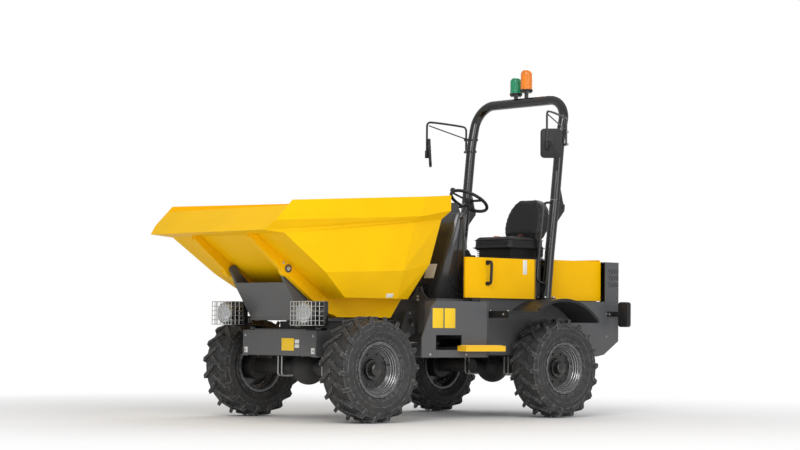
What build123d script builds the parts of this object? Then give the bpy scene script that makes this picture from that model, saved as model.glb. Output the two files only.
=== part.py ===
# Articulated site dumper with a swivelling, forward-tipping skip. Units are millimetres.
# +X is forward (skip end), +Y the machine's left, +Z up. The origin is on the ground, at the
# middle of the whole machine's length and width.
from build123d import *
import os
from math import cos, hypot, radians, sin

os.makedirs("parts", exist_ok=True)

# ---- Wheels and axles
front_axle_x = 1090.0
wheelbase = 2070.0
rear_axle_x = front_axle_x - wheelbase
half_track = 745.0
tyre_radius = 415.0
tyre_half_width = 145.0
wall_radius = 292.0
shoulder_half_width = 126.0
shoulder_radius = 376.0
crown_half_width = 66.0
lug_height = 26.0
crown_radius = tyre_radius - lug_height
lug_count = 18
# Lug's run from the tyre's middle to its shoulder: place along the axle, foot under the
# rubber (along, radius), tip radius, angle it leans back, half its width (both in degrees).
lug_stations = [
    (-10, (-10, crown_radius - 8), tyre_radius, 0.0, 1.9),
    (tyre_half_width - 22, (108, shoulder_radius - 12), tyre_radius - 3, 13.0, 2.2),
    (tyre_half_width - 1, (126, 340), 348, 15.0, 2.6),
]
rim_half_width = 118.0
flange_radius = 215.0
bead_radius = 197.0
well_radius = 170.0
rim_wall = 7.0
disc_offset = 18.0
disc_thickness = 10.0
hub_radius = 78.0
hub_back = 26.0
hub_front = 30.0
hub_cap_radius = 52.0
hub_cap_length = 44.0
spindle_radius = 40.0
spindle_reach = 47.0
drum_gap = 6.0
running_clearance = 0.05
axle_tube_radius = 62.0
axle_flange_radius = 110.0
axle_pad = 60.0
diff_radius = 140.0

# ---- Articulation between the two chassis halves
steer_x = 255.0
steer_pin_radius = 30.0
steer_eye_radius = 75.0
steer_eye_half_height = 20.0
fork_half_height = 12.5
eye_gap = 2.0
lower_eye_z = 560.0
upper_eye_z = 755.0

# ---- Front chassis
rail_y = 280.0
rail_thickness = 20.0
rail_bottom_z = 505.0
front_top_z = 722.0
top_plate_thickness = 20.0
top_plate_half_width = 330.0
front_cross_x = 430.0
cross_thickness = 25.0
ear_x = 200.0
ear_top_z = 878.0
bumper_x = 1400.0
bumper_half_width = 465.0
bumper_bottom_z = 512.0
bumper_plate = 12.0
bumper_return = 170.0
lamp_y = 505.0
lamp_front_x = 1595.0
lamp_rear_x = 1460.0
lamp_half_width = 130.0
lamp_bottom_z = 750.0
lamp_top_z = 940.0
lamp_wall = 5.0
lamp_depth = 58.0
lamp_bowl_radius = 74.0
guard_wire = 3.0
guard_columns = 7
guard_rows = 4

# ---- Slew ring and swivel frame
slew_x = 1005.0
slew_outer_radius = 300.0
slew_split_radius = 250.0
slew_inner_radius = 180.0
slew_height = 62.0
slew_gap = 6.0
swivel_plate = 22.0
arm_y = 300.0
arm_thickness = 25.0
tip_x = 1626.0
tip_z = 1192.0
tip_pin_radius = 20.0
arm_boss_radius = 34.0
bracket_gap = 10.0
bracket_thickness = 45.0
bracket_boss_radius = 62.0
pin_head_gap = 3.0
pin_head = 9.0
foot_tube_radius = 17.0

# ---- Skip
skip_wall = 7.0
front_rim_z = 1656.0
belly_half_width = 380.0
belly_inner_half_width = 250.0
belly_bottom_z = 820.0
belly_plate = 12.0

# ---- Rear chassis
rear_rail_y = 240.0
rear_cross_x = 45.0
deck_z = 985.0
deck_thickness = 12.0
tank_front_x = 405.0
tank_rear_x = -285.0
tank_half_width = 700.0
tank_inner_y = 320.0
tank_bottom_z = 505.0
tank_top_z = 962.0
tank_tunnel_z = 700.0
tank_skin = 12.0
step_front_x = 105.0
step_rear_x = -345.0
step_reach = 100.0
fender_thickness = 14.0
fender_width = 320.0
fender_lip = 9.0
skirt_y = 550.0
sheet = 6.0
hood_front_x = -1165.0
hood_rear_x = -1815.0
tail_rear_x = hood_rear_x - 180
hood_top_front_x = -1565.0
hood_y = 500.0
body_top_z = 1338.0
hood_gap = 6.0
lamp_bracket_y = 660.0
machine_rear_x = tail_rear_x - 147
rear_lens_radius = 40.0
rear_lens_height = 9.0
back_louvres = 9
slit_rows = 3
slit_count = 6
slit_pitch = 22.0
slit_row_pitch = 58.0
rear_rail_rear_x = tail_rear_x + 95
tow_x = tail_rear_x - 35
tow_low_z = 566.0
tow_high_z = 614.0
tow_plate = 16.0

# ---- Operator's place
tower_half_width = 450.0
tower_foot_x = 104.0
tower_head_x = -128.0
tower_foot_corner = 90.0
tower_head_corner = 50.0
tower_rod_x = -160.0
tower_rear_x = -205.0
tower_top_z = 1700.0
tower_wall = 6.0
panel_y = 590.0
panel_front_x = -100.0
panel_rear_x = -885.0
seat_box_front_x = -900.0
seat_box_half_width = 485.0
pedal_places = (-110.0, 95.0)
bellows_folds = 4
bellows_pitch = 16.0
wheel_centre = (-680.0, 0.0, 1840.0)
wheel_tilt = 30.0
hand_wheel_radius = 180.0
column_radius = 26.0

# ---- Roll-over bar
post_y = 551.0
bar_radius = 42.0
fold_z = 1850.0
fold_pin_x = -1250.0
fold_pin_z = fold_z - 60
fold_pin_radius = 9.0
rail_radius = 11.0
post_foot_x = -1077.0
crossbar_x = -1315.0
crossbar_z = fold_z + 890
hoop_foot_x = -1176.0
hoop_knee_x = -1233.0
hoop_knee_z = fold_z + 524
mirror_x = -867.0
mirror_y = post_y + 197
# Beacons: y, foot of the lens, top of the lens.
beacon_places = [(60.0, crossbar_z + 100, crossbar_z + 290),
                 (-70.0, crossbar_z + 75, crossbar_z + 230)]

# ---- Rams: base pin and rod eye (x, y, z)
steer_ram_base = (-560.0, 400.0, 620.0)
steer_ram_eye = (470.0, 430.0, 620.0)
steer_barrel_radius = 38.0
steer_rod_radius = 20.0
steer_barrel_length = 640.0
steer_rod_length = 690.0
tip_ram_base = (1350.0, 0.0, 880.0)
tip_ram_eye = (560.0, 0.0, 905.0)
tip_barrel_radius = 50.0
tip_rod_radius = 25.0
tip_barrel_length = 650.0
tip_rod_length = 700.0
ram_pin_radius = 16.0
ram_eye_half = 22.0
ram_clearance = 0.055


# ---- Shared helpers

def write(name, *shapes):
    """One STEP file for one named piece."""
    export_step(Part() + list(shapes), f"parts/{name}.step")


def mirrored(shape):
    return mirror(shape, about=Plane.XZ)


def both_sides(shape):
    return [shape, mirrored(shape)]


def side_face(points, corner=0):
    """Face in the XZ plane from (x, z) points, its corners rounded."""
    face = make_face(Plane.XZ * Polyline(*points, close=True))
    return fillet(face.vertices(), corner) if corner else face


def side_plate(points, y_low, y_high, corner=0):
    """Plate of an (x, z) outline between two y planes."""
    face = side_face(points, corner)
    return Pos(0, y_low, 0) * extrude(face, amount=y_high - y_low, dir=(0, 1, 0))


def plan_plate(points, z_low, z_high, corner=0):
    """Plate of an (x, y) outline between two heights."""
    face = make_face(Polyline(*points, close=True))
    face = fillet(face.vertices(), corner) if corner else face
    return Pos(0, 0, z_low) * extrude(face, amount=z_high - z_low, dir=(0, 0, 1))


def front_plate(points, x_low, x_high, corner=0):
    """Plate of a (y, z) outline between two x planes."""
    face = make_face(Plane.YZ * Polyline(*points, close=True))
    face = fillet(face.vertices(), corner) if corner else face
    return Pos(x_low, 0, 0) * extrude(face, amount=x_high - x_low, dir=(1, 0, 0))


def block(x_low, x_high, y_low, y_high, z_low, z_high):
    size = (x_high - x_low, y_high - y_low, z_high - z_low)
    centre = ((x_low + x_high) / 2, (y_low + y_high) / 2, (z_low + z_high) / 2)
    return Pos(*centre) * Box(*size)


def cross_rod(x, z, radius, y_low, y_high):
    """Cylinder along Y."""
    return Pos(x, (y_low + y_high) / 2, z) * Rot(90, 0, 0) * Cylinder(radius, y_high - y_low)


def upright(x, y, radius, z_low, z_high):
    """Cylinder along Z."""
    return Pos(x, y, (z_low + z_high) / 2) * Cylinder(radius, z_high - z_low)


def bar(start, end, radius):
    """Cylinder between two points."""
    start, end = Vector(*start), Vector(*end)
    along = end - start
    place = Plane(start, z_dir=along)
    return place * Pos(0, 0, along.length / 2) * Cylinder(radius, along.length)


def tube(points, radius, bend):
    """Round bar along straight runs joined by tangent arcs."""
    path = FilletPolyline(*points, radius=bend)
    return sweep(Plane(path @ 0, z_dir=path % 0) * Circle(radius), path=path)


def faceted(rings):
    """Solid through closed rings of equal count; every side is split into flat triangles."""
    faces = []
    count = len(rings[0])
    for lower, upper in zip(rings, rings[1:]):
        for i in range(count):
            j = (i + 1) % count
            faces.append((lower[i], lower[j], upper[j]))
            faces.append((lower[i], upper[j], upper[i]))
    half = count // 2
    for ring in (rings[0], rings[-1]):
        for i in range(half - 1):
            j, k, m = i + 1, count - 2 - i, count - 1 - i
            faces.append((ring[i], ring[j], ring[k]))
            faces.append((ring[i], ring[k], ring[m]))
    made = [Face(Wire.make_polygon(points, close=True)) for points in faces]
    return Solid(Shell(made))


# ---- Wheels

def at_angle(along, radius, degrees):
    """Point at a place along the axle, a radius and an angle round it."""
    turn = radians(degrees)
    return (along, radius * sin(turn), -radius * cos(turn))


def carcass():
    """Tyre's body in flat strips, one for each half pitch of the lugs."""
    count = 2 * lug_count
    step = 360 / count
    snug = 1 / cos(radians(step / 2))
    half = [(rim_half_width - 10.7, (bead_radius + 0.3) * snug),
            (rim_half_width - 8.7, (flange_radius + 6) * snug), (tyre_half_width, wall_radius),
            (shoulder_half_width, shoulder_radius), (crown_half_width, crown_radius)]
    section = half + [(-along, radius) for along, radius in reversed(half)]
    strips = []
    for i in range(count):
        for (a, ra), (b, rb) in zip(section, section[1:] + section[:1]):
            near, far = i * step, (i + 1) * step
            corners = [at_angle(a, ra, near), at_angle(b, rb, near), at_angle(b, rb, far),
                       at_angle(a, ra, far)]
            strips.append(Face(Wire.make_polygon(corners, close=True)))
    return Solid(Shell(strips))


def lug(way, start):
    """Raised bar from the tyre's middle out over its shoulder, leaning back as it goes."""
    rings = []
    for along, foot, tip, lean, half in lug_stations:
        angles = (start + lean - half, start + lean + half)
        ring = [at_angle(way * foot[0], foot[1], angles[0]),
                at_angle(way * along, tip, angles[0]),
                at_angle(way * along, tip, angles[1]),
                at_angle(way * foot[0], foot[1], angles[1])]
        rings.append(ring)
    return faceted(rings)


def tyre_shape():
    """Tyre about a level axle along X, with staggered lugs on its two sides."""
    pitch = 360 / lug_count
    lugs = []
    for i in range(lug_count):
        lugs.append(lug(1, i * pitch))
        lugs.append(lug(-1, (i + 0.5) * pitch))
    return carcass().fuse(*lugs)


def rim(x, y, side):
    """Dished rim with its disc, hub and cap; the bore takes the axle's spindle."""
    w, f, b, t = rim_half_width, flange_radius, bead_radius - 0.3, rim_wall
    outer = [(w, f), (w - 8.3, f), (w - 10.3, b), (52, b - 2), (34, well_radius)]
    inner = [(34 - t, well_radius - t), (52 - t, b - 2 - t), (w - 14, b - t), (w, b + 2)]
    points = outer + [(-a, r) for a, r in reversed(outer)]
    points += [(-a, r) for a, r in reversed(inner)] + inner
    body = revolve(make_face(Polyline(*points, close=True)), axis=Axis.X)
    back, front = disc_offset - hub_back, disc_offset + hub_front
    turned = [(disc_offset, disc_thickness, well_radius - t / 2),
              (back, front - back, hub_radius)]
    for start, length, radius in turned:
        body += Pos(start + length / 2, 0, 0) * Rot(0, 90, 0) * Cylinder(radius, length)
    cap = Pos(front + hub_cap_length / 2, 0, 0) * Rot(0, 90, 0) * Cylinder(
        hub_cap_radius, hub_cap_length)
    body += fillet(cap.edges().filter_by(GeomType.CIRCLE).sort_by(Axis.X)[-1], 18)
    bore_end = back + spindle_reach + 3
    body -= Pos((back - 10 + bore_end) / 2, 0, 0) * Rot(0, 90, 0) * Cylinder(
        spindle_radius + running_clearance, bore_end - back + 10)
    turn = 90 if side > 0 else -90
    return Pos(x, y, tyre_radius) * Rot(0, 0, turn) * body


def axle(x, nose_way, pad_y, pad_top):
    """Axle beam with its differential, brake drums and spindles."""
    hub_face = half_track + disc_offset - hub_back
    drum_end = hub_face - drum_gap
    body = cross_rod(x, tyre_radius, axle_tube_radius, -drum_end + 40, drum_end - 40)
    body += Pos(x, 0, tyre_radius) * Sphere(diff_radius)
    body += Pos(x + nose_way * (diff_radius + 40), 0, tyre_radius) * Rot(0, 90, 0) * Cylinder(
        58, 120)
    for way in (-1, 1):
        pieces = [(drum_end - 90, drum_end, axle_flange_radius),
                  (drum_end - 5, hub_face + spindle_reach, spindle_radius)]
        for inner, outer, radius in pieces:
            low, high = sorted((way * inner, way * outer))
            body += cross_rod(x, tyre_radius, radius, low, high)
        body += block(x - axle_pad, x + axle_pad, way * pad_y - 35, way * pad_y + 35,
                      tyre_radius, pad_top)
    return body


def build_wheels():
    places = [("front_left", front_axle_x, 1), ("front_right", front_axle_x, -1),
              ("rear_left", rear_axle_x, 1), ("rear_right", rear_axle_x, -1)]
    tyre = tyre_shape()
    for place, x, side in places:
        write(f"tyre_{place}", Pos(x, side * half_track, tyre_radius) * Rot(0, 0, 90) * tyre)
        write(f"rim_{place}", rim(x, side * half_track, side))
    write("front_axle", axle(front_axle_x, -1, rail_y, rail_bottom_z))
    write("rear_axle", axle(rear_axle_x, 1, rear_rail_y, rail_bottom_z))


# ---- Front chassis

def steer_eye(z, arm_to_x, half_height):
    """Flat eye on the articulation axis with its arm."""
    low, high = sorted((steer_x, arm_to_x))
    eye = upright(steer_x, 0, steer_eye_radius, z - half_height, z + half_height)
    return eye + block(low, high, -steer_eye_radius, steer_eye_radius,
                       z - half_height, z + half_height)


def front_frame():
    """Two side plates with raised ears, joined by cross plates and a top plate."""
    end_x = bumper_x - bumper_plate
    outline = [(ear_x, 700), (ear_x, ear_top_z - 18), (ear_x + 18, ear_top_z),
               (ear_x + 95, ear_top_z), (ear_x + 150, front_top_z), (end_x, front_top_z),
               (end_x, rail_bottom_z), (front_cross_x, rail_bottom_z), (ear_x + 110, 640)]
    plate = side_plate(outline, rail_y - rail_thickness / 2, rail_y + rail_thickness / 2)
    plate -= cross_rod(ear_x + 48, 795, 28, rail_y - 30, rail_y + 30)
    body = plate + mirrored(plate)
    w = top_plate_half_width
    body += block(620, end_x, -w, w, front_top_z - top_plate_thickness, front_top_z)
    inner = rail_y - rail_thickness / 2
    cross_end = front_cross_x + cross_thickness
    body += block(front_cross_x, cross_end, -inner - 5, inner + 5, rail_bottom_z, front_top_z)
    body += block(front_cross_x, cross_end, -110, 110, front_top_z - 10, upper_eye_z + 35)
    for z in (lower_eye_z, upper_eye_z):
        body += steer_eye(z, front_cross_x + 5, steer_eye_half_height)
        body -= upright(steer_x, 0, steer_pin_radius + running_clearance, z - 30, z + 30)
    # Clevis that takes the steering ram's rod eye.
    x, y, z = steer_ram_eye
    reach = y + 40
    for low in (-ram_eye_half - 12, ram_eye_half + 2):
        body += block(x - 35, x + 90, rail_y, reach, z + low, z + low + 10)
    body += block(x + 78, x + 90, rail_y, reach, z - ram_eye_half - 8, z + ram_eye_half + 8)
    return body


def bumper():
    """Folded front box, open below, with a thin flange at its foot."""
    rear_x = bumper_x - bumper_plate
    w, low, high = bumper_half_width, bumper_bottom_z, front_top_z - 10
    body = block(rear_x, bumper_x, -w, w, low, high)
    rows = [(w, w - bumper_plate, bumper_return, low, high),
            (w - bumper_plate, rail_y + rail_thickness / 2 + 50, bumper_return, high - 8, high),
            (w + 35, w - 60, bumper_return / 3, low - 7, low)]
    for outer, inner, depth, z_low, z_high in rows:
        for way in (-1, 1):
            y_low, y_high = sorted((way * outer, way * inner))
            front = bumper_x if z_low < low else rear_x
            body += block(rear_x - depth, front, y_low, y_high, z_low, z_high)
    return body


def headlamps():
    """Lamp housings open at the front, each with a round lamp behind a grid of wires."""
    low_y, high_y = lamp_y - lamp_half_width, lamp_y + lamp_half_width
    middle_z = (lamp_bottom_z + lamp_top_z) / 2
    shell = block(lamp_rear_x, lamp_front_x, low_y, high_y, lamp_bottom_z, lamp_top_z)
    shell = chamfer(shell.edges().filter_by(Axis.Y).group_by(Axis.X)[0].sort_by(Axis.Z)[-1],
                    60, 75)
    back = lamp_front_x - lamp_depth
    shell -= block(back, lamp_front_x + 1, low_y + lamp_wall, high_y - lamp_wall,
                   lamp_bottom_z + lamp_wall, lamp_top_z - lamp_wall)
    lamp = Pos((back + lamp_front_x - 20) / 2, lamp_y, middle_z) * Rot(0, 90, 0) * Cylinder(
        lamp_bowl_radius, lamp_depth - 20)
    shell += fillet(lamp.edges().filter_by(GeomType.CIRCLE).sort_by(Axis.X)[-1], 14)
    for i in range(1, guard_columns):
        y = low_y + 2 * lamp_half_width * i / guard_columns
        shell += upright(lamp_front_x - 5, y, guard_wire, lamp_bottom_z + 2, lamp_top_z - 2)
    for i in range(1, guard_rows):
        z = lamp_bottom_z + (lamp_top_z - lamp_bottom_z) * i / guard_rows
        shell += cross_rod(lamp_front_x - 9, z, guard_wire, low_y + 2, high_y - 2)
    foot_high = bumper_half_width - 15
    foot_low = foot_high - 60
    foot_rear, foot_front = bumper_x - 130, bumper_x - 60
    shell += block(foot_rear, foot_front, foot_low, foot_high, front_top_z - 10,
                   lamp_bottom_z)
    shell += block(foot_rear, lamp_front_x - 50, foot_low, foot_high,
                   lamp_bottom_z - 12, lamp_bottom_z + 4)
    return both_sides(shell)


def build_front():
    write("front_frame", front_frame())
    write("front_bumper", bumper())
    write("headlamps", *headlamps())
    ring = Pos(slew_x, 0, front_top_z + slew_height / 2) * (
        Cylinder(slew_outer_radius, slew_height) - Cylinder(slew_split_radius, slew_height))
    write("slew_ring", ring)


# ---- Swivel frame and skip

def swivel_frame():
    """Turntable plate with two arms and a sloping front plate that carry the tip pins."""
    plate_low = front_top_z + slew_height + slew_gap
    plate_high = plate_low + swivel_plate
    spigot = plate_low - front_top_z
    body = upright(slew_x, 0, slew_outer_radius, plate_low, plate_high)
    body += Pos(slew_x, 0, front_top_z + 10 + spigot / 2) * (
        Cylinder(slew_split_radius - running_clearance * 4, spigot)
        - Cylinder(slew_inner_radius, spigot))
    reach = arm_y + arm_thickness
    body += block(slew_x, 1420, -reach, reach, plate_low, plate_high)
    pin_end = reach + bracket_gap + bracket_thickness + pin_head_gap
    arm = side_plate([(1185, plate_low), (1415, plate_low), (1605, 1086), (1650, 1170),
                      (1604, 1218), (1560, 1165), (1330, 955)], arm_y, reach, 10)
    arm += cross_rod(tip_x, tip_z, arm_boss_radius, arm_y, reach)
    arm += cross_rod(tip_x, tip_z, tip_pin_radius, arm_y, pin_end + 1)
    arm += cross_rod(tip_x, tip_z, tip_pin_radius + 12, pin_end, pin_end + pin_head)
    body += arm + mirrored(arm)
    body += side_plate([(1403, plate_low), (1418, plate_low), (1608, 1086), (1593, 1086)],
                       -reach, reach)
    body += cross_rod(1419, plate_low + foot_tube_radius, foot_tube_radius, -reach, reach)
    # Clevis and pin for the tipping ram's base.
    x, _, z = tip_ram_base
    for y in (-52, 32):
        body += side_plate([(x - 45, plate_low), (x + 55, plate_low), (x + 35, z + 35),
                            (x - 35, z + 35)], y, y + 20, 8)
    return body + cross_rod(x, z, ram_pin_radius, -52, 52)


# Skip's outer corners on its left side, level by level from the floor up. Each level runs
# front edge, end of the side wall, corner, end of the rear wall, as (x, y, z).
skip_levels = [
    [(1228, 600, 972), (680, 600, 972), (480, 505, 972), (430, 330, 972)],
    [(1515, 705, 1164), (710, 705, 1192), (330, 600, 1257), (250, 300, 1262)],
    [(1931, 720, 1447), (609, 720, 1579), (265, 665, 1620), (205, 405, 1622)],
    [(2142, 729, 1465), (598, 737, 1596), (251, 688, 1644), (181, 420, 1646)],
    [(2065, 774, 1540), (575, 774, 1631), (223, 734, 1690), (135, 440, 1692)],
    [(1900, 774, 1700), (548, 774, 1789), (223, 734, 1815), (135, 440, 1820)],
]
# How far the inner face stands behind the outer one at each level's front edge, and above it.
skip_insets = [(12, skip_wall), (12, 0), (16, 6), (16, 7), (10, 0), (10, 0)]


def mirrored_rings(levels):
    """Level outlines of the left side carried on over the right side."""
    return [level + [(x, -y, z) for x, y, z in reversed(level)] for level in levels]


def inset(level, by, front_by, lift):
    """A level's outline moved inwards in plan, its front edge by its own amount."""
    points = [(x, y) for x, y, _ in level]
    points = [(points[0][0], 0)] + points + [(points[-1][0], 0)]
    lines = []
    for i, (a, b) in enumerate(zip(points, points[1:])):
        length = hypot(b[0] - a[0], b[1] - a[1])
        dx, dy = (b[0] - a[0]) / length, (b[1] - a[1]) / length
        away = front_by if i == 0 else by
        lines.append(((a[0] - dy * away, a[1] + dx * away), (dx, dy)))
    moved = []
    for ((ax, ay), (adx, ady)), ((bx, by_), (bdx, bdy)) in zip(lines, lines[1:]):
        cross = adx * bdy - ady * bdx
        t = ((bx - ax) * bdy - (by_ - ay) * bdx) / cross
        moved.append((ax + adx * t, ay + ady * t))
    return [(x, y, z + lift) for (x, y), (_, _, z) in zip(moved, level)]


def skip_cavity():
    levels = [inset(level, skip_wall, front_by, lift)
              for level, (front_by, lift) in zip(skip_levels, skip_insets)]
    above = [(x, y, z + 300) for x, y, z in levels[-1]]
    return faceted(mirrored_rings(levels + [above]))


def belly():
    """Two box beams under the floor; the tipping ram works between them."""
    outline = [(438, 976), (553, belly_bottom_z), (1120, belly_bottom_z), (1190, 862),
               (1325, 976)]
    hollow = [(470, 960), (563, belly_bottom_z + belly_plate),
              (1112, belly_bottom_z + belly_plate), (1175, 870), (1240, 926), (1240, 960)]
    box = side_plate(outline, belly_inner_half_width, belly_half_width)
    box -= side_plate(hollow, belly_inner_half_width + belly_plate,
                      belly_half_width - belly_plate)
    return box + mirrored(box)


def hinge_beams():
    """Plates under the sloping floor that hang on the tip pins."""
    low = arm_y + arm_thickness + bracket_gap
    high = low + bracket_thickness
    beam = side_plate([(1100, belly_bottom_z + 10), (1200, 846), (1385, 960), (1590, 1110),
                       (1665, 1165), (1990, 1420), (1985, 1480), (1515, 1170), (1228, 975)],
                      low, high)
    beam += cross_rod(tip_x, tip_z, bracket_boss_radius, low, high)
    beam -= cross_rod(tip_x, tip_z, tip_pin_radius + running_clearance, low - 5, high + 5)
    return beam + mirrored(beam)


def ram_ears():
    """Ears under the floor for the tipping ram's rod eye."""
    x, _, z = tip_ram_eye
    ears = Part()
    for y in (-46, 34):
        ears += side_plate([(x - 60, 974), (x - 34, z - 34), (x + 34, z - 34), (x + 60, 974)],
                           y, y + 12)
    return ears


def skip(outer):
    """Open skip with flared walls and a pressed band round its rim."""
    body = Part() + outer - skip_cavity()
    side_inner = skip_levels[-1][0][1] - skip_wall
    return body - block(1700, 2200, -side_inner, side_inner, front_rim_z, 1900)


def skip_frame(outer):
    """Box beams, hinge plates and ram ears that are welded under the skip's floor."""
    return Part() + belly() + hinge_beams() + ram_ears() - outer


def build_skip():
    outer = faceted(mirrored_rings(skip_levels))
    write("swivel_frame", swivel_frame())
    write("skip", skip(outer))
    write("skip_frame", skip_frame(outer))


# ---- Rear chassis

def rear_frame():
    """Two rails, cross plates, the articulation's forks, the deck and the towing eye."""
    rail = [(rear_cross_x, 590), (-60, rail_bottom_z), (rear_rail_rear_x + 120, rail_bottom_z),
            (rear_rail_rear_x, 640), (rear_rail_rear_x, 760), (-140, 760),
            (rear_cross_x, 860)]
    plate = side_plate(rail, rear_rail_y - 10, rear_rail_y + 10)
    body = plate + mirrored(plate)
    y = rear_rail_y + 10
    body += block(rear_cross_x - cross_thickness, rear_cross_x, -y, y, 520, tank_top_z)
    end_x = rear_rail_rear_x
    for x_low, x_high, z_low, z_high in [(end_x + 100, end_x + 125, 540, 740),
                                         (end_x, end_x + 25, tow_low_z - 6, 760),
                                         (-640, -610, 510, 600)]:
        body += block(x_low, x_high, -y, y, z_low, z_high)
    gap = steer_eye_half_height + eye_gap + fork_half_height
    for eye_z in (lower_eye_z, upper_eye_z):
        for way in (-1, 1):
            body += steer_eye(eye_z + way * gap, rear_cross_x - 5, fork_half_height)
        body += upright(steer_x, 0, steer_pin_radius, eye_z - gap, eye_z + gap)
    # Towing eye: two ears with an upright bore.
    for z in (tow_low_z, tow_high_z):
        body += block(tow_x - 35, rear_rail_rear_x + 5, -50, 50, z, z + tow_plate)
    body -= upright(tow_x, 0, 16, tow_low_z - 10, tow_high_z + tow_plate + 10)
    # Clevis and pin for the steering ram's base.
    x, base_y, z = steer_ram_base
    for low in (-ram_eye_half - 12, ram_eye_half + 2):
        body += block(x - 40, x + 35, rear_rail_y, base_y + 35, z + low, z + low + 10)
    body += upright(x, base_y, ram_pin_radius, z - ram_eye_half - 8, z + ram_eye_half + 8)
    # Posts on the rails that carry the deck.
    for way in (-1, 1):
        low, high = sorted((way * (rear_rail_y - 10), way * (rear_rail_y + 10)))
        for x in (-700, -1300, -1800):
            body += block(x, x + 60, low, high, 755, deck_z - deck_thickness)
    return body


def deck():
    """Front deck under the tower and the ledges beside the engine."""
    body = block(tower_rear_x, tower_foot_x + 12, -tower_half_width, tower_half_width,
                 tank_top_z, deck_z)
    body += block(seat_box_front_x - 20, tower_rear_x + 1, -skirt_y + sheet, skirt_y - sheet,
                  deck_z - deck_thickness, deck_z)
    for way in (-1, 1):
        low, high = sorted((way * (rear_rail_y - 10), way * (skirt_y - sheet)))
        body += block(hood_rear_x + 10, seat_box_front_x, low, high,
                      deck_z - deck_thickness, deck_z)
    return body + lifting_lugs()


def lifting_lugs():
    """Upright lugs ahead of the tower's foot, each with a long hole."""
    outline = [(125, deck_z - 4), (190, deck_z + 42), (212, deck_z + 98), (270, deck_z + 98),
               (292, deck_z + 42), (352, deck_z - 4)]
    x_low, x_high = tower_foot_x + 1, tower_foot_x + 12
    lug = front_plate(outline, x_low, x_high)
    lug -= front_plate([(228, deck_z + 46), (254, deck_z + 46), (254, deck_z + 84),
                        (228, deck_z + 84)], x_low - 5, x_high + 5, 10)
    return lug + mirrored(lug)


def side_tanks():
    """Side boxes: an outer skin reaching forward, and a tank behind it over a ram tunnel."""
    w, rear = tank_half_width, tank_rear_x
    skin = side_plate([(rear + 60, tank_bottom_z), (500, tank_bottom_z), (500, 655),
                       (tank_front_x, 875), (tank_front_x, tank_top_z - 57),
                       (tank_front_x - 65, tank_top_z),
                       (rear + 60, tank_top_z)], w - tank_skin, w)
    skin -= block(55, 345, w - 30, w + 30, 565, 686)
    tank = plan_plate([(rear, tank_inner_y), (190, tank_inner_y), (190, 455), (310, 525),
                       (310, w - tank_skin + 1), (rear + 70, w - tank_skin + 1),
                       (rear + 70, w), (rear + 20, w - 20), (rear, w - 70)],
                      tank_tunnel_z, tank_top_z)
    floor = plan_plate([(rear, tank_inner_y), (180, tank_inner_y), (480, 560),
                        (480, w - 1), (rear + 70, w - 1), (rear + 20, w - 21),
                        (rear, w - 70)], tank_bottom_z, tank_bottom_z + 10)
    back = block(rear, rear + 10, 500, w - 70, tank_bottom_z, tank_tunnel_z + 5)
    corner = plan_plate([(rear, w - 71), (rear + 20, w - 20), (rear + 70, w),
                         (rear + 70, w - tank_skin), (rear + 26, w - 30), (rear + 10, w - 71)],
                        tank_bottom_z, tank_tunnel_z + 5)
    return both_sides(skin + tank + floor + back + corner)


def skirts():
    """Side sheets between the side boxes and the tail."""
    plate = side_plate([(tank_rear_x - 1, tank_bottom_z + 20), (hood_rear_x + 100, 505),
                        (hood_rear_x + 1, 522), (hood_rear_x + 1, deck_z),
                        (tank_rear_x - 1, deck_z)], skirt_y - sheet, skirt_y)
    return both_sides(plate)


def tail_panel():
    """Rear end cover: two sides, a top and a louvred back."""
    top = body_top_z - 4
    body = side_plate([(hood_rear_x, 525), (tail_rear_x, 640), (tail_rear_x, top),
                       (hood_rear_x - hood_gap, top), (hood_rear_x - hood_gap, deck_z),
                       (hood_rear_x, deck_z)], -skirt_y, skirt_y)
    body -= side_plate([(hood_rear_x + 5, 500), (tail_rear_x + sheet, 600),
                        (tail_rear_x + sheet, top - sheet),
                        (hood_rear_x + 5, top - sheet)], -skirt_y + sheet, skirt_y - sheet)
    for i in range(back_louvres):
        z = 760 + 55 * i
        body -= block(tail_rear_x - 10, tail_rear_x + 20, -330, 330, z, z + 25)
    # Leaning slits in rows near the top of both sides.
    for row in range(slit_rows):
        for i in range(slit_count):
            x = hood_rear_x - 45 - slit_pitch * i
            z = top - 60 - slit_row_pitch * row
            slit = side_plate([(x, z), (x - 8, z), (x - 26, z - 44), (x - 18, z - 44)],
                              -skirt_y - 5, skirt_y + 5)
            body -= slit
    return body


def rear_lamps():
    """Lamp clusters on brackets beside the tail, each with two round lamps."""
    face = machine_rear_x + rear_lens_height
    low_y, high_y = lamp_bracket_y - 60, lamp_bracket_y + 60
    shell = block(face, face + 55, low_y, high_y, 760, 990)
    shell = fillet(shell.edges().filter_by(Axis.X), 22)
    for z in (820, 930):
        lens = Pos(machine_rear_x + 10, lamp_bracket_y, z) * Rot(0, 90, 0) * Cylinder(
            rear_lens_radius, 20)
        shell += fillet(lens.edges().filter_by(GeomType.CIRCLE).sort_by(Axis.X)[0], 5)
    shell += block(face + 54, tail_rear_x - 2, low_y, low_y + 10, 800, 950)
    shell += block(tail_rear_x - 10, tail_rear_x - 2, skirt_y - 60, low_y + 10, 800, 950)
    shell += block(tail_rear_x - 10, tail_rear_x, skirt_y - 60, skirt_y - 20, 820, 930)
    return both_sides(shell)


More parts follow.
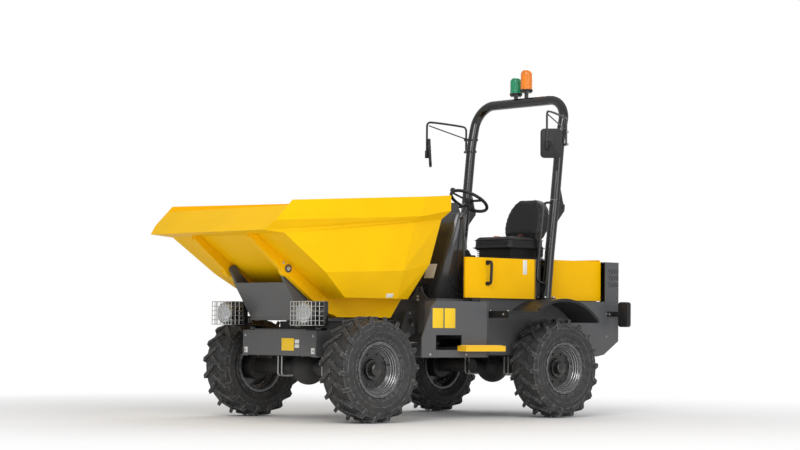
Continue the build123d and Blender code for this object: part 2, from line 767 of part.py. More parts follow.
def hood():
    """Lifting engine cover: two sides and the top behind the seat, hinged at the rear."""
    low = deck_z + hood_gap
    inner = hood_y - 10
    side = side_plate([(hood_rear_x, low), (hood_front_x, low), (hood_front_x, body_top_z - 30),
                       (hood_front_x - 30, body_top_z), (hood_rear_x, body_top_z)],
                      inner, hood_y)
    body = side + mirrored(side)
    body += block(hood_rear_x, hood_top_front_x, -hood_y, hood_y, body_top_z - sheet,
                  body_top_z)
    body += cross_rod(hood_rear_x + 8, body_top_z + 7, 8, -inner, inner)
    return body


def engine():
    return block(-1760, -1210, -225, 225, 640, 1280)


def pedal(y):
    """Foot pedal on its arm, standing on the floor sheet."""
    floor, foot_x = deck_z + 8, tower_rear_x - 20
    body = side_plate([(foot_x, floor - 4), (foot_x - 14, floor - 4), (foot_x - 44, floor + 112),
                       (foot_x - 30, floor + 112)], y - 7, y + 7)
    return body + side_plate([(foot_x - 50, floor + 78), (foot_x - 18, floor + 170),
                              (foot_x - 26, floor + 173), (foot_x - 58, floor + 81)],
                             y - 38, y + 38)


def footwell():
    """Floor sheet with its pedals, the riser before the seat and the deck under the seat."""
    w = skirt_y - sheet
    seat_w = seat_box_half_width
    box_rear = seat_box_front_x - 165
    body = block(seat_box_front_x, tower_rear_x, -w, w, deck_z, deck_z + 8)
    body += block(seat_box_front_x - 10, seat_box_front_x, -w, w, deck_z, body_top_z - 8)
    body += block(hood_top_front_x + 15, seat_box_front_x - 5, -seat_w, seat_w,
                  body_top_z - 12, body_top_z)
    for y in (-seat_w, seat_w - 8):
        body += block(box_rear + 5, seat_box_front_x - 5, y, y + 8, deck_z, body_top_z - 6)
    body += block(box_rear - 5, box_rear + 5, -seat_w, seat_w, deck_z, body_top_z - 6)
    for y in pedal_places:
        body += pedal(y)
    return body


def side_panels():
    """Panels beside the footwell, rounded at the front and tapered at the rear."""
    low, high = deck_z + 10, body_top_z - 8
    inner = skirt_y + 1
    front, rear = panel_front_x, panel_rear_x
    panel = plan_plate([(front, inner), (front, panel_y - 22), (front - 18, panel_y),
                        (rear, panel_y), (rear - 50, inner + 6), (rear - 50, inner),
                        (rear, panel_y - 6), (front - 24, panel_y - 8),
                        (front - 8, panel_y - 26), (front - 8, inner)], low, high)
    for x in (front - 60, rear + 40):
        panel += block(x - 20, x, skirt_y - sheet, panel_y - 5, low, low + 60)
    return both_sides(panel)


def tower():
    """Shield ahead of the footwell, its front corners rounded and its front face sloping."""
    w, low, high = tower_half_width, deck_z, tower_top_z
    sections = []
    for z, front, corner in [(low, tower_foot_x, tower_foot_corner),
                             (high, tower_head_x, tower_head_corner)]:
        face = Plane.XY.offset(z) * make_face(Polyline(
            (tower_rear_x, -w), (front, -w), (front, w), (tower_rear_x, w), close=True))
        sections.append(fillet(face.vertices().sort_by(Axis.X)[-2:], corner))
    body = loft(sections, ruled=True)
    hollow = side_plate([(tower_rear_x - 10, low - 10), (tower_foot_x - tower_wall, low - 10),
                         (tower_head_x - tower_wall, high - tower_wall),
                         (tower_rear_x - 10, high - tower_wall)], -w + 30, w - 30)
    return body - hollow


def dash():
    """Instrument box behind the tower's head."""
    return side_plate([(tower_rear_x, 1690), (-390, 1690), (-390, 1720), (-350, 1800),
                       (tower_rear_x, 1800)], -200, 200)


def steering_column():
    """Upright post with a tilted head and a stub that carries the hand wheel."""
    x, _, z = wheel_centre
    lean = radians(wheel_tilt)
    knee_x, knee_z = x + 200 * sin(lean), z - 200 * cos(lean)
    body = upright(knee_x, 0, 32, deck_z + 8, knee_z)
    body += Pos(knee_x, 0, knee_z) * Sphere(34)
    head = Plane((knee_x, 0, knee_z), z_dir=(-sin(lean), 0, cos(lean)))
    body += head * Pos(0, 0, 84) * Cylinder(column_radius, 168)
    body += head * Pos(0, 0, 90) * Cylinder(12, 180)
    body += block(knee_x, -390, -30, 30, 1694, 1716)
    return body


def hand_wheel():
    lean = radians(wheel_tilt)
    place = Plane(wheel_centre, z_dir=(-sin(lean), 0, cos(lean)))
    body = Torus(hand_wheel_radius - 14, 14)
    body += Pos(0, 0, -10) * Cylinder(32, 34)
    for angle in (90, 210, 330):
        body += Rot(0, 0, angle) * Pos((hand_wheel_radius - 20) / 2, 0, -2) * Box(
            hand_wheel_radius - 20, 26, 8)
    body -= Pos(0, 0, -20) * Cylinder(12 + running_clearance, 20)
    return place * body


def seat():
    """Suspension box with its bellows, cushion and backrest."""
    top = body_top_z
    base = block(-1390, -975, -210, 210, top, top + 22)
    for i in range(bellows_folds):
        z = top + 22 + bellows_pitch * i
        base += block(-1372, -993, -192, 192, z - 1, z + bellows_pitch)
        base += block(-1384, -981, -204, 204, z + 4, z + bellows_pitch - 4)
    base += block(-1390, -975, -210, 210, top + 86, top + 96)
    cushion = block(-1395, -945, -240, 240, top + 97, top + 192)
    cushion = fillet(cushion.edges().filter_by(Axis.Z), 60)
    cushion = fillet(cushion.edges().group_by(Axis.Z)[-1], 28)
    back = side_plate([(-1345, top + 193), (-1420, 1900), (-1500, 1885), (-1450, top + 193)],
                      -235, 235, 20)
    return base, cushion, back


def arch(outer, thick, start, end):
    """Ring sector about the rear axle between two angles, as a face in the XZ plane."""
    x, z = rear_axle_x, tyre_radius

    def at(radius, angle):
        return (x + radius * cos(radians(angle)), z + radius * sin(radians(angle)))

    middle = (start + end) / 2
    upper = ThreePointArc(at(outer, start), at(outer, middle), at(outer, end))
    lower = ThreePointArc(at(outer - thick, end), at(outer - thick, middle),
                          at(outer - thick, start))
    edges = [upper, lower, Line(upper @ 1, lower @ 0), Line(lower @ 1, upper @ 0)]
    return make_face(Plane.XZ * (Curve() + edges))


def fenders():
    """Moulded arches over the rear wheels with a flat front part and a raised outer lip."""
    outer, thick = tyre_radius + 160, fender_thickness
    flat_z, front_x = 887, -305
    inner_y = skirt_y + 0.5
    outer_y = inner_y + fender_width
    body = Pos(0, inner_y, 0) * extrude(arch(outer, thick, 137, 55), amount=fender_width,
                                        dir=(0, 1, 0))
    # Flat part ahead of the arch, with its flange turned down.
    root_x = rear_axle_x + outer * cos(radians(55.2))
    body += block(root_x - 12, front_x, inner_y, outer_y, flat_z - thick, flat_z)
    body += block(front_x - thick, front_x, inner_y, outer_y, flat_z - 57, flat_z)
    lip = arch(outer + fender_lip, fender_lip + thick / 2, 136, 58)
    body += Pos(0, outer_y - 22, 0) * extrude(lip, amount=22, dir=(0, 1, 0))
    return both_sides(body)


def steps():
    """Treads fixed to the side boxes."""
    inner_y, outer_y = tank_half_width, tank_half_width + step_reach
    tread = block(step_rear_x, step_front_x, inner_y, outer_y, 555, 600)
    tread -= block(step_rear_x + 15, step_front_x - 15, inner_y + 12, outer_y - 12, 550, 590)
    return both_sides(tread)


def rops_posts():
    """Lower legs of the roll-over bar with feet, gussets and fold brackets."""
    y = post_y
    post = tube([(post_foot_x, y, deck_z + 12), (-1115, y, 1394), (-1175, y, fold_z - 3)],
                bar_radius, 900)
    post += block(-1145, post_foot_x + 62, y - 58, y + 45, deck_z + 10, deck_z + 24)
    post += block(-1135, post_foot_x + 52, y - 58, skirt_y - sheet - 1, deck_z, deck_z + 12)
    for offset in (-26, 18):
        post += side_plate([(post_foot_x, deck_z + 20), (post_foot_x + 60, deck_z + 20),
                            (post_foot_x + 60, deck_z + 40), (post_foot_x + 2, 1200),
                            (post_foot_x - 25, 1200)], y + offset, y + offset + 8)
    post += tube([(-1062, y, 1130), (-955, y, 1150), (-1042, y, 1822), (-1150, y, 1830)],
                 rail_radius, 45)
    for offset in (-22, 14):
        post += side_plate([(-1165, 1640), (-1190, fold_z - 8), (-1228, fold_z - 8),
                            (fold_pin_x - 28, fold_pin_z + 20),
                            (fold_pin_x - 22, fold_pin_z - 30)],
                           y + offset, y + offset + 8)
    post += cross_rod(fold_pin_x, fold_pin_z, fold_pin_radius, y - 30, y + 30)
    return both_sides(post)


def hoop_x(z):
    """Middle of the hoop's leg at a height: two straight runs that meet at the knee."""
    if z < hoop_knee_z:
        part = (z - fold_z) / (hoop_knee_z - fold_z)
        return hoop_foot_x + (hoop_knee_x - hoop_foot_x) * part
    part = (z - hoop_knee_z) / (crossbar_z - hoop_knee_z)
    return hoop_knee_x + (crossbar_x - hoop_knee_x) * part


def rops_hoop():
    """Folding upper bar with its lugs and the beacons' stalks."""
    y, foot_z = post_y, fold_z + 3
    points = [(hoop_foot_x, -y, foot_z), (hoop_knee_x, -y, hoop_knee_z),
              (crossbar_x, -y, crossbar_z), (crossbar_x, y, crossbar_z),
              (hoop_knee_x, y, hoop_knee_z), (hoop_foot_x, y, foot_z)]
    body = tube(points, bar_radius, 200)
    for way in (-1, 1):
        lug = side_plate([(-1195, fold_z + 6), (-1205, fold_z + 150), (-1225, fold_z + 150),
                          (fold_pin_x - 25, fold_pin_z + 25),
                          (fold_pin_x - 18, fold_pin_z - 18),
                          (fold_pin_x + 22, fold_pin_z - 18), (-1222, fold_z + 6)],
                         way * y - 8, way * y + 8)
        body += lug
        body -= cross_rod(fold_pin_x, fold_pin_z, fold_pin_radius + running_clearance,
                          way * y - 20, way * y + 20)
    for stalk_y, foot, _ in beacon_places:
        body += upright(crossbar_x, stalk_y, 18, crossbar_z + 30, foot - 5)
        body += upright(crossbar_x, stalk_y, 48, foot - 15, foot)
    return body


def beacon(y, foot, top):
    """Domed lens standing on its base."""
    lens = upright(crossbar_x, y, 52, foot, top)
    return fillet(lens.edges().filter_by(GeomType.CIRCLE).sort_by(Axis.Z)[-1], 40)


def mirrors():
    """Mirror arms clamped to the hoop, and the heads that hang from them."""
    low_z, high_z = crossbar_z - 405, crossbar_z - 300
    low_x, high_x = hoop_x(low_z), hoop_x(high_z)
    top_z, head_top = crossbar_z - 178, crossbar_z - 271
    arm = tube([(low_x, post_y + bar_radius + 4, low_z), (low_x, post_y + 75, low_z),
                (mirror_x, mirror_y, top_z), (mirror_x, mirror_y, head_top + 1)], 9, 20)
    arm += bar((high_x + 1.8, post_y + bar_radius + 9, high_z), (-1061, 682, high_z), 9)
    lower_run = (hoop_knee_x - hoop_foot_x, 0, hoop_knee_z - fold_z)
    upper_run = (crossbar_x - hoop_knee_x, 0, crossbar_z - hoop_knee_z)
    for x, z, lean in ((low_x, low_z, lower_run), (high_x, high_z, upper_run)):
        arm += Plane((x, post_y, z), z_dir=lean) * (
            Cylinder(bar_radius + 8, 26) - Cylinder(bar_radius + 0.3, 26))
    head = block(mirror_x - 22, mirror_x + 22, mirror_y - 75, mirror_y + 75,
                 head_top - 139, head_top)
    head = fillet(head.edges().filter_by(Axis.X), 25)
    return both_sides(arm), both_sides(head)


def grab_rails():
    """Rods beside the tower and handles on the panels."""
    rod = upright(tower_rod_x, 484, 9, 1010, 1672)
    for z in (1030, 1650):
        rod += block(tower_rod_x - 9, tower_rod_x + 9, tower_half_width, 484, z, z + 14)
    handle = tube([(-285, panel_y, 1110), (-285, panel_y + 45, 1110), (-365, panel_y + 45, 1290),
                   (-365, panel_y, 1290)], 8, 20)
    pieces = []
    for piece in (rod, handle):
        pieces += both_sides(piece)
    return pieces


def build_rear():
    base, cushion, back = seat()
    arms, heads = mirrors()
    pieces = {
        "rear_frame": [rear_frame()], "rear_deck": [deck()], "side_tanks": side_tanks(), "skirts": skirts(),
        "tail_panel": [tail_panel()], "rear_lamps": rear_lamps(), "hood": [hood()],
        "engine": [engine()], "footwell": [footwell()], "side_panels": side_panels(),
        "tower": [tower()], "dash": [dash()], "steering_column": [steering_column()],
        "hand_wheel": [hand_wheel()], "seat_base": [base], "seat_cushion": [cushion],
        "seat_back": [back], "fenders": fenders(), "steps": steps(),
        "rops_posts": rops_posts(), "rops_hoop": [rops_hoop()], "mirror_arms": arms,
        "mirror_heads": heads, "beacon_amber": [beacon(*beacon_places[0])],
        "beacon_green": [beacon(*beacon_places[1])], "grab_rails": grab_rails(),
    }
    for name, shapes in pieces.items():
        write(name, *shapes)


# ---- Rams

def ram(base, eye, barrel_radius, rod_radius, barrel_length, rod_length, eye_axis):
    """Barrel bored for its rod and the rod with its eye; both eyes turn about eye_axis."""
    start, end = Vector(*base), Vector(*eye)
    along = end - start
    length = along.length
    place = Plane(start, z_dir=along)
    neck = 62
    barrel = place * Pos(0, 0, (barrel_length + neck) / 2) * Cylinder(
        barrel_radius, barrel_length - neck)
    barrel += place * Pos(0, 0, (neck + 4) / 2) * Cylinder(ram_eye_half - 2, neck + 4)
    eye_radius = barrel_radius * 0.9
    height = 2 * ram_eye_half
    turned = Plane(start, z_dir=eye_axis)
    barrel += turned * Cylinder(eye_radius, height)
    barrel -= turned * Cylinder(ram_pin_radius + running_clearance, height + 20)
    bore = barrel_length - neck - 8
    barrel -= place * Pos(0, 0, barrel_length - bore / 2 + 5) * Cylinder(
        rod_radius + ram_clearance, bore + 10)
    rod = place * Pos(0, 0, length - rod_length / 2) * Cylinder(rod_radius, rod_length)
    rod += Plane(end, z_dir=eye_axis) * Cylinder(eye_radius, height)
    return barrel, rod


def build_rams():
    rows = [("steer", steer_ram_base, steer_ram_eye, steer_barrel_radius, steer_rod_radius,
             steer_barrel_length, steer_rod_length, (0, 0, 1)),
            ("tip", tip_ram_base, tip_ram_eye, tip_barrel_radius, tip_rod_radius,
             tip_barrel_length, tip_rod_length, (0, 1, 0))]
    for name, *sizes in rows:
        barrel, rod = ram(*sizes)
        write(f"{name}_barrel", barrel)
        write(f"{name}_rod", rod)


build_wheels()
build_front()
build_skip()
build_rear()
build_rams()
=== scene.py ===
import bpy
import bmesh
import math
from mathutils import Matrix, Vector


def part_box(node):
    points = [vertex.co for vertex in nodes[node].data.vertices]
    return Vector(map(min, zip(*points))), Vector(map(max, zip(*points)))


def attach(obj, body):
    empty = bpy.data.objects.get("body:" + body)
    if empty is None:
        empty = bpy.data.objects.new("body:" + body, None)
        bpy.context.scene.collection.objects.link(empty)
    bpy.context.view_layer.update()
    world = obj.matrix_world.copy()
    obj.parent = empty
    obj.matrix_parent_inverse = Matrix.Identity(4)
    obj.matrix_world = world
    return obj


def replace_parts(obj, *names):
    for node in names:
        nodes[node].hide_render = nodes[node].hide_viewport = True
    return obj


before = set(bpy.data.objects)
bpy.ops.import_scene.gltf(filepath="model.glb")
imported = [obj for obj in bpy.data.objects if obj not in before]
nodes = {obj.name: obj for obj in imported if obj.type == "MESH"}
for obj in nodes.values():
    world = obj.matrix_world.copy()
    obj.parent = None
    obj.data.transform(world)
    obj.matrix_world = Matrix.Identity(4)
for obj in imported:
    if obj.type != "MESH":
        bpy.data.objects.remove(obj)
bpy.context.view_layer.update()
scene = bpy.context.scene
shift = Matrix.Translation
sharpAngle = math.radians(35)
print("frame loaded")


# Shader helpers

def rgb(red, green, blue):
    def linear(value):
        value /= 255
        return value / 12.92 if value < 0.04045 else ((value + 0.055) / 1.055) ** 2.4
    return (linear(red), linear(green), linear(blue), 1)


def setInputs(tree, made, sockets):
    for key, value in sockets.items():
        if isinstance(value, bpy.types.NodeSocket):
            tree.links.new(value, made.inputs[key])
        else:
            made.inputs[key].default_value = value


def node(tree, kind, sockets=None, **attributes):
    made = tree.nodes.new("ShaderNode" + kind)
    for key, value in attributes.items():
        setattr(made, key, value)
    setInputs(tree, made, sockets or {})
    return made


# Every group takes a vector; the other sockets' kinds follow from their values and names
def newGroup(name, inputs, *outputs):
    group = bpy.data.node_groups.new(name, "ShaderNodeTree")
    group.interface.new_socket("Vector", in_out="INPUT", socket_type="NodeSocketVector")
    for label, value in inputs.items():
        kind = "Float" if isinstance(value, float) else "Color"
        socket = group.interface.new_socket(label, in_out="INPUT", socket_type="NodeSocket" + kind)
        socket.default_value = value
    for label in outputs:
        kind = "Color" if label == "Colour" else "Float"
        group.interface.new_socket(label, in_out="OUTPUT", socket_type="NodeSocket" + kind)
    given, out = (group.nodes.new("NodeGroup" + end) for end in ("Input", "Output"))
    return group, given.outputs, out.inputs


def useGroup(tree, group, sockets):
    return node(tree, "Group", sockets, node_tree=group).outputs


def mixColour(tree, factor, first, second, blend="MIX"):
    return node(tree, "Mix", {0: factor, 6: first, 7: second}, data_type="RGBA",
                blend_type=blend).outputs[2]


def maths(tree, operation, first, second=0.0, clamp=False):
    return node(tree, "Math", {0: first, 1: second}, operation=operation,
                use_clamp=clamp).outputs[0]


def noise(tree, vector, scale, detail, roughness=0.5):
    return node(tree, "TexNoise", {"Vector": vector, "Scale": scale, "Detail": detail,
                                   "Roughness": roughness}).outputs[0]


def ramp(tree, value, start, end, low=0.0, high=1.0):
    return node(tree, "MapRange", {"Value": value, "From Min": start, "From Max": end,
                                   "To Min": low, "To Max": high}).outputs[0]


def newMaterial(name):
    material = bpy.data.materials.new(name)
    material.use_nodes = True
    tree = material.node_tree
    return material, tree, tree.nodes["Principled BSDF"]


# Worn paint along outer edges, broken up by noise; on the rims the same mask carries painted
# highlights along the edges
def makeEdgeWearAndHighlight():
    group, given, out = newGroup(
        "edgeWearAndHighlight", {"Width": 0.004, "Amount": 0.5, "Scale": 30.0}, "Mask")
    rounded = node(group, "Bevel", {"Radius": given["Width"]}, samples=4)
    plain = node(group, "NewGeometry")
    bend = node(group, "VectorMath", {0: rounded.outputs[0], 1: plain.outputs["Normal"]},
                operation="DOT_PRODUCT").outputs["Value"]
    edge = ramp(group, bend, 0.995, 0.86)
    cloud = noise(group, given["Vector"], given["Scale"], 6.0, 0.65)
    broken = ramp(group, cloud, 0.42, 0.62)
    wornAndHighlight = maths(group, "MULTIPLY", edge, broken)
    group.links.new(maths(group, "MULTIPLY", wornAndHighlight, given["Amount"], True), out["Mask"])
    return group


# Dust that settles on level faces and splashes up from the ground
def makeDustLayer():
    group, given, out = newGroup(
        "dustLayer", {"Level Amount": 0.3, "Low Amount": 0.4, "Reach": 0.9, "Scale": 5.0}, "Mask")
    normal = node(group, "NewGeometry").outputs["Normal"]
    upward = node(group, "SeparateXYZ", {0: normal}).outputs[2]
    level = ramp(group, upward, 0.35, 1.0)
    height = node(group, "SeparateXYZ", {0: given["Vector"]}).outputs[2]
    low = ramp(group, height, given["Reach"], 0.1)
    both = maths(group, "ADD", maths(group, "MULTIPLY", level, given["Level Amount"]),
                 maths(group, "MULTIPLY", low, given["Low Amount"]))
    cloud = noise(group, given["Vector"], given["Scale"], 8.0, 0.7)
    speck = noise(group, given["Vector"], 90.0, 3.0)
    patch = ramp(group, cloud, 0.38, 0.68)
    patch = maths(group, "MULTIPLY", patch, maths(group, "ADD", speck, 0.5))
    group.links.new(maths(group, "MULTIPLY", both, patch, True), out["Mask"])
    return group


# Slow drift of a colour over a panel, lighter and darker
def makeColourDrift():
    group, given, out = newGroup(
        "colourDrift", {"Colour": (1, 1, 1, 1), "Amount": 0.1, "Scale": 2.0}, "Colour")
    cloud = noise(group, given["Vector"], given["Scale"], 4.0, 0.55)
    spread = ramp(group, cloud, 0.3, 0.7, -1.0)
    value = maths(group, "ADD", maths(group, "MULTIPLY", spread, given["Amount"]), 1.0)
    made = node(group, "HueSaturation", {"Value": value, "Color": given["Colour"]})
    group.links.new(made.outputs[0], out["Colour"])
    return group


# Surface height: a fine grain over slow dents, with optional streaks
def makeGrain():
    group, given, out = newGroup(
        "surfaceGrain", {"Fine Scale": 220.0, "Dents": 0.3}, "Height", "Scratches")
    fine = noise(group, given["Vector"], given["Fine Scale"], 3.0)
    slow = noise(group, given["Vector"], 7.0, 2.0)
    height = maths(group, "ADD", fine, maths(group, "MULTIPLY", slow, given["Dents"]))
    group.links.new(height, out["Height"])
    stretched = node(group, "Mapping", {"Vector": given["Vector"], "Rotation": (0.3, 0.5, 0.4),
                                        "Scale": (9.0, 160.0, 70.0)}).outputs[0]
    lines = noise(group, stretched, 1.0, 5.0, 0.75)
    marks = ramp(group, lines, 0.63, 0.72)
    group.links.new(marks, out["Scratches"])
    return group


edgeWearAndHighlight, dustLayer, colourDrift = makeEdgeWearAndHighlight(), makeDustLayer(), makeColourDrift()
surfaceGrain = makeGrain()

dustColour = rgb(150, 138, 118)
bareSteel = rgb(128, 124, 118)

# One row per finish: colour, roughness and what differs from plainLook
plainLook = {
    "metallic": 0.0, "coat": 0.0, "specular": 0.5, "wearAndHighlight": 0.3, "width": 0.004, "wornAndHighlight": bareSteel,
    "level": 0.08, "low": 0.07, "drift": 0.05, "driftScale": 2.0, "grain": 0.05, "fine": 220.0,
    "dents": 0.3, "scratches": 0.1, "distance": 0.001,
}
looks = {
    "skip_yellow": (rgb(255, 199, 0), 0.42, {"specular": 0.12, "wearAndHighlight": 0.12, "drift": 0.05,
        "dents": 1.4, "grain": 0.07, "scratches": 0.12}),
    "body_yellow": (rgb(255, 194, 0), 0.36, {"specular": 0.14, "wearAndHighlight": 0.12}),
    "step_yellow": (rgb(250, 196, 24), 0.5, {"wearAndHighlight": 0.7, "scratches": 0.4}),
    "chassis_grey": (rgb(86, 87, 89), 0.4, {"wearAndHighlight": 0.35, "low": 0.12, "coat": 0.15}),
    "tower_grey": (rgb(50, 51, 53), 0.22, {"coat": 0.7, "wearAndHighlight": 0.25}),
    "black_paint": (rgb(20, 20, 21), 0.2, {"coat": 0.6, "wearAndHighlight": 0.2}),
    # Rims: the near-white colour on every outer edge, at full amount, is a painted highlight along
    # the rolled steps, not wear
    "rim_paint": (rgb(76, 77, 79), 0.24, {"wearAndHighlight": 1.0, "low": 0.06, "wornAndHighlight": rgb(214, 215, 216),
        "width": 0.006, "coat": 0.6}),
    "tyre": (rgb(50, 50, 51), 0.7, {"wearAndHighlight": 1.0, "wornAndHighlight": rgb(150, 150, 150), "width": 0.01,
        "grain": 0.35, "fine": 150.0, "low": 0.04, "level": 0.02, "scratches": 0.0, "drift": 0.34,
        "driftScale": 22.0}),
    "cast": (rgb(44, 45, 47), 0.55, {"grain": 0.45, "fine": 130.0, "low": 0.15, "wearAndHighlight": 0.3}),
    "chrome": (rgb(206, 208, 210), 0.13, {"metallic": 1.0, "wearAndHighlight": 0.0, "low": 0.08, "level": 0.05,
        "grain": 0.02}),
    "black_plastic": (rgb(27, 27, 28), 0.52, {"grain": 0.3, "fine": 420.0, "wornAndHighlight": rgb(66, 66, 68),
        "wearAndHighlight": 0.25}),
    "grey_plastic": (rgb(62, 64, 67), 0.5, {"grain": 0.3, "fine": 420.0,
        "wornAndHighlight": rgb(100, 100, 102), "wearAndHighlight": 0.2}),
    "seat_vinyl": (rgb(26, 26, 28), 0.56, {"grain": 0.6, "fine": 260.0, "wornAndHighlight": rgb(50, 50, 52),
        "wearAndHighlight": 0.1, "low": 0.0}),
    "engine_metal": (rgb(96, 98, 100), 0.5, {"metallic": 0.6, "grain": 0.4, "fine": 120.0}),
    "floor_rubber": (rgb(30, 30, 30), 0.8, {"grain": 0.4, "level": 0.35, "wornAndHighlight": rgb(64, 64, 64)}),
    "zinc": (rgb(205, 206, 204), 0.34, {"metallic": 0.85, "wearAndHighlight": 0.2, "grain": 0.1,
        "width": 0.001}),
    "label_white": (rgb(232, 232, 228), 0.45, {"wearAndHighlight": 0.2, "wornAndHighlight": rgb(170, 168, 160),
        "width": 0.002, "scratches": 0.2}),
    "label_yellow": (rgb(250, 206, 30), 0.45, {"wearAndHighlight": 0.2, "wornAndHighlight": rgb(150, 130, 60),
        "width": 0.002, "scratches": 0.2}),
    "buckle_orange": (rgb(226, 84, 22), 0.4, {"wearAndHighlight": 0.2, "wornAndHighlight": rgb(150, 70, 40),
        "width": 0.002}),
    "webbing": (rgb(30, 30, 31), 0.85, {"grain": 0.8, "fine": 600.0, "wornAndHighlight": rgb(60, 60, 60)}),
    "dial_face": (rgb(226, 228, 224), 0.2, {"coat": 0.8, "wearAndHighlight": 0.0}),
    "bright_reflector": (rgb(214, 218, 222), 0.16, {"metallic": 0.9, "wearAndHighlight": 0.0, "coat": 1.0}),
    "mirror_glass": (rgb(226, 230, 232), 0.04, {"metallic": 1.0, "wearAndHighlight": 0.0, "grain": 0.0,
        "low": 0.0, "level": 0.0, "scratches": 0.0}),
    "orange_knob": (rgb(214, 60, 30), 0.35, {"wearAndHighlight": 0.1, "coat": 0.4}),
}


def makeFinish(name, plain, roughness, look):
    values = {**plainLook, **look}
    material, tree, shader = newMaterial(name + "Look")
    vector = node(tree, "TexCoord").outputs["Object"]
    grain = useGroup(tree, surfaceGrain, {"Vector": vector, "Fine Scale": values["fine"],
                                          "Dents": values["dents"]})
    wearAndHighlight = useGroup(tree, edgeWearAndHighlight, {"Vector": vector, "Width": values["width"],
                                     "Amount": values["wearAndHighlight"]})["Mask"]
    dust = useGroup(tree, dustLayer, {"Vector": vector, "Level Amount": values["level"],
                                      "Low Amount": values["low"]})["Mask"]
    base = useGroup(tree, colourDrift, {"Vector": vector, "Colour": plain,
                                        "Amount": values["drift"],
                                        "Scale": values["driftScale"]})["Colour"]
    scratch = maths(tree, "MULTIPLY", grain["Scratches"], values["scratches"])
    wornAndHighlight = maths(tree, "MAXIMUM", wearAndHighlight, scratch)
    # Edge colour mixed over the base: real wear on most finishes, painted highlights along the rims'
    # edges
    colour = mixColour(tree, wornAndHighlight, base, values["wornAndHighlight"])
    colour = mixColour(tree, dust, colour, dustColour)
    rough = ramp(tree, grain["Height"], 0.3, 1.2, roughness * 0.85, min(1, roughness * 1.15))
    rough = maths(tree, "ADD", rough, maths(tree, "MULTIPLY", dust, 0.45), True)
    height = maths(tree, "SUBTRACT", grain["Height"], maths(tree, "MULTIPLY", wornAndHighlight, 0.6))
    bump = node(tree, "Bump", {"Height": height, "Strength": values["grain"],
                               "Distance": values["distance"]}).outputs[0]
    setInputs(tree, shader, {"Base Color": colour, "Roughness": rough, "Normal": bump,
                             "Metallic": values["metallic"], "Coat Weight": values["coat"],
                             "Specular IOR Level": values["specular"], "Coat Roughness": 0.12})
    return material


# Coloured lamp glass with moulded rings
def makeLens(name, colour, rings, glow=0.0):
    material, tree, shader = newMaterial(name + "Look")
    vector = node(tree, "TexCoord").outputs["Object"]
    drift = useGroup(tree, colourDrift, {"Vector": vector, "Colour": colour, "Amount": 0.08,
                                         "Scale": 14.0})["Colour"]
    dust = useGroup(tree, dustLayer, {"Vector": vector, "Level Amount": 0.12,
                                      "Low Amount": 0.0})["Mask"]
    wave = node(tree, "TexWave", {"Vector": vector, "Scale": rings, "Distortion": 0.0},
                bands_direction="Z").outputs[1]
    bump = node(tree, "Bump", {"Height": wave, "Strength": 0.6, "Distance": 0.002}).outputs[0]
    setInputs(tree, shader, {"Base Color": mixColour(tree, dust, drift, dustColour),
                             "Roughness": ramp(tree, dust, 0, 1, 0.12, 0.5), "Normal": bump,
                             "Transmission Weight": 0.35, "Coat Weight": 0.6,
                             "Emission Color": colour, "Emission Strength": glow})
    return material


finishes = {name: makeFinish(name, *look) for name, look in looks.items()}
finishes["amber_lens"] = makeLens("amberLens", rgb(246, 142, 18), 34.0, 0.12)
finishes["green_lens"] = makeLens("greenLens", rgb(8, 150, 104), 34.0, 0.12)
finishes["red_lens"] = makeLens("redLens", rgb(176, 18, 16), 90.0, 0.05)
for name, thing in nodes.items():
    for slot in thing.material_slots:
        slot.material = finishes[slot.material.name.split(".")[0]]
print("materials made")


# Mesh helpers

def addObject(name, data):
    made = bpy.data.objects.new(name, data)
    scene.collection.objects.link(made)
    return made


def addMesh(name, bm):
    mesh = bpy.data.meshes.new(name)
    bm.to_mesh(mesh)
    bm.free()
    return addObject(name, mesh)


def tagNew(bm, known, slot):
    for face in bm.faces:
        if face not in known:
            face.material_index = slot
            face.smooth = True


def roundOff(bm, edges, width, segments=2):
    bmesh.ops.bevel(bm, geom=edges, offset=width, segments=segments, profile=0.5,
                    affect="EDGES", material=-1)


def addBlock(bm, place, size, rounding=0.0, slot=0):
    known = set(bm.faces)
    made = bmesh.ops.create_cube(bm, size=1, matrix=place @ Matrix.Diagonal((*size, 1)))
    if rounding:
        edges = list({edge for vert in made["verts"] for edge in vert.link_edges})
        roundOff(bm, edges, rounding)
    tagNew(bm, known, slot)


def addBox(bm, low, high, rounding=0.0, slot=0):
    low, high = Vector(low), Vector(high)
    size = [abs(value) for value in high - low]
    addBlock(bm, shift((low + high) / 2), size, rounding, slot)


def aim(point, direction):
    turn = Vector(direction).to_track_quat("Z", "Y").to_matrix().to_4x4()
    return shift(point) @ turn


def addRound(bm, start, end, radius, endRadius=None, sides=24, rounding=0.0, slot=0):
    known = set(bm.faces)
    start, end = Vector(start), Vector(end)
    along = end - start
    made = bmesh.ops.create_cone(bm, cap_ends=True, segments=sides, radius1=radius,
                                 radius2=radius if endRadius is None else endRadius,
                                 depth=along.length, matrix=aim((start + end) / 2, along))
    if rounding:
        caps = {face for vert in made["verts"] for face in vert.link_faces if len(face.verts) > 4}
        edges = list({edge for face in caps for edge in face.edges})
        roundOff(bm, edges, rounding)
    tagNew(bm, known, slot)


# Washer, hexagon head and the bolt's end, standing on a face
def addBolt(bm, point, direction, size, slot=0):
    point, direction = Vector(point), Vector(direction).normalized() * size
    base = -0.001 / size
    for low, high, radius, sides, rounding in ((base, 0.2, 1.25, 20, 0.06),
                                               (0.2, 0.85, 0.95, 6, 0.1),
                                               (0.85, 1.15, 0.5, 14, 0.1)):
        addRound(bm, point + direction * low, point + direction * high, size * radius,
                 sides=sides, rounding=size * rounding, slot=slot)


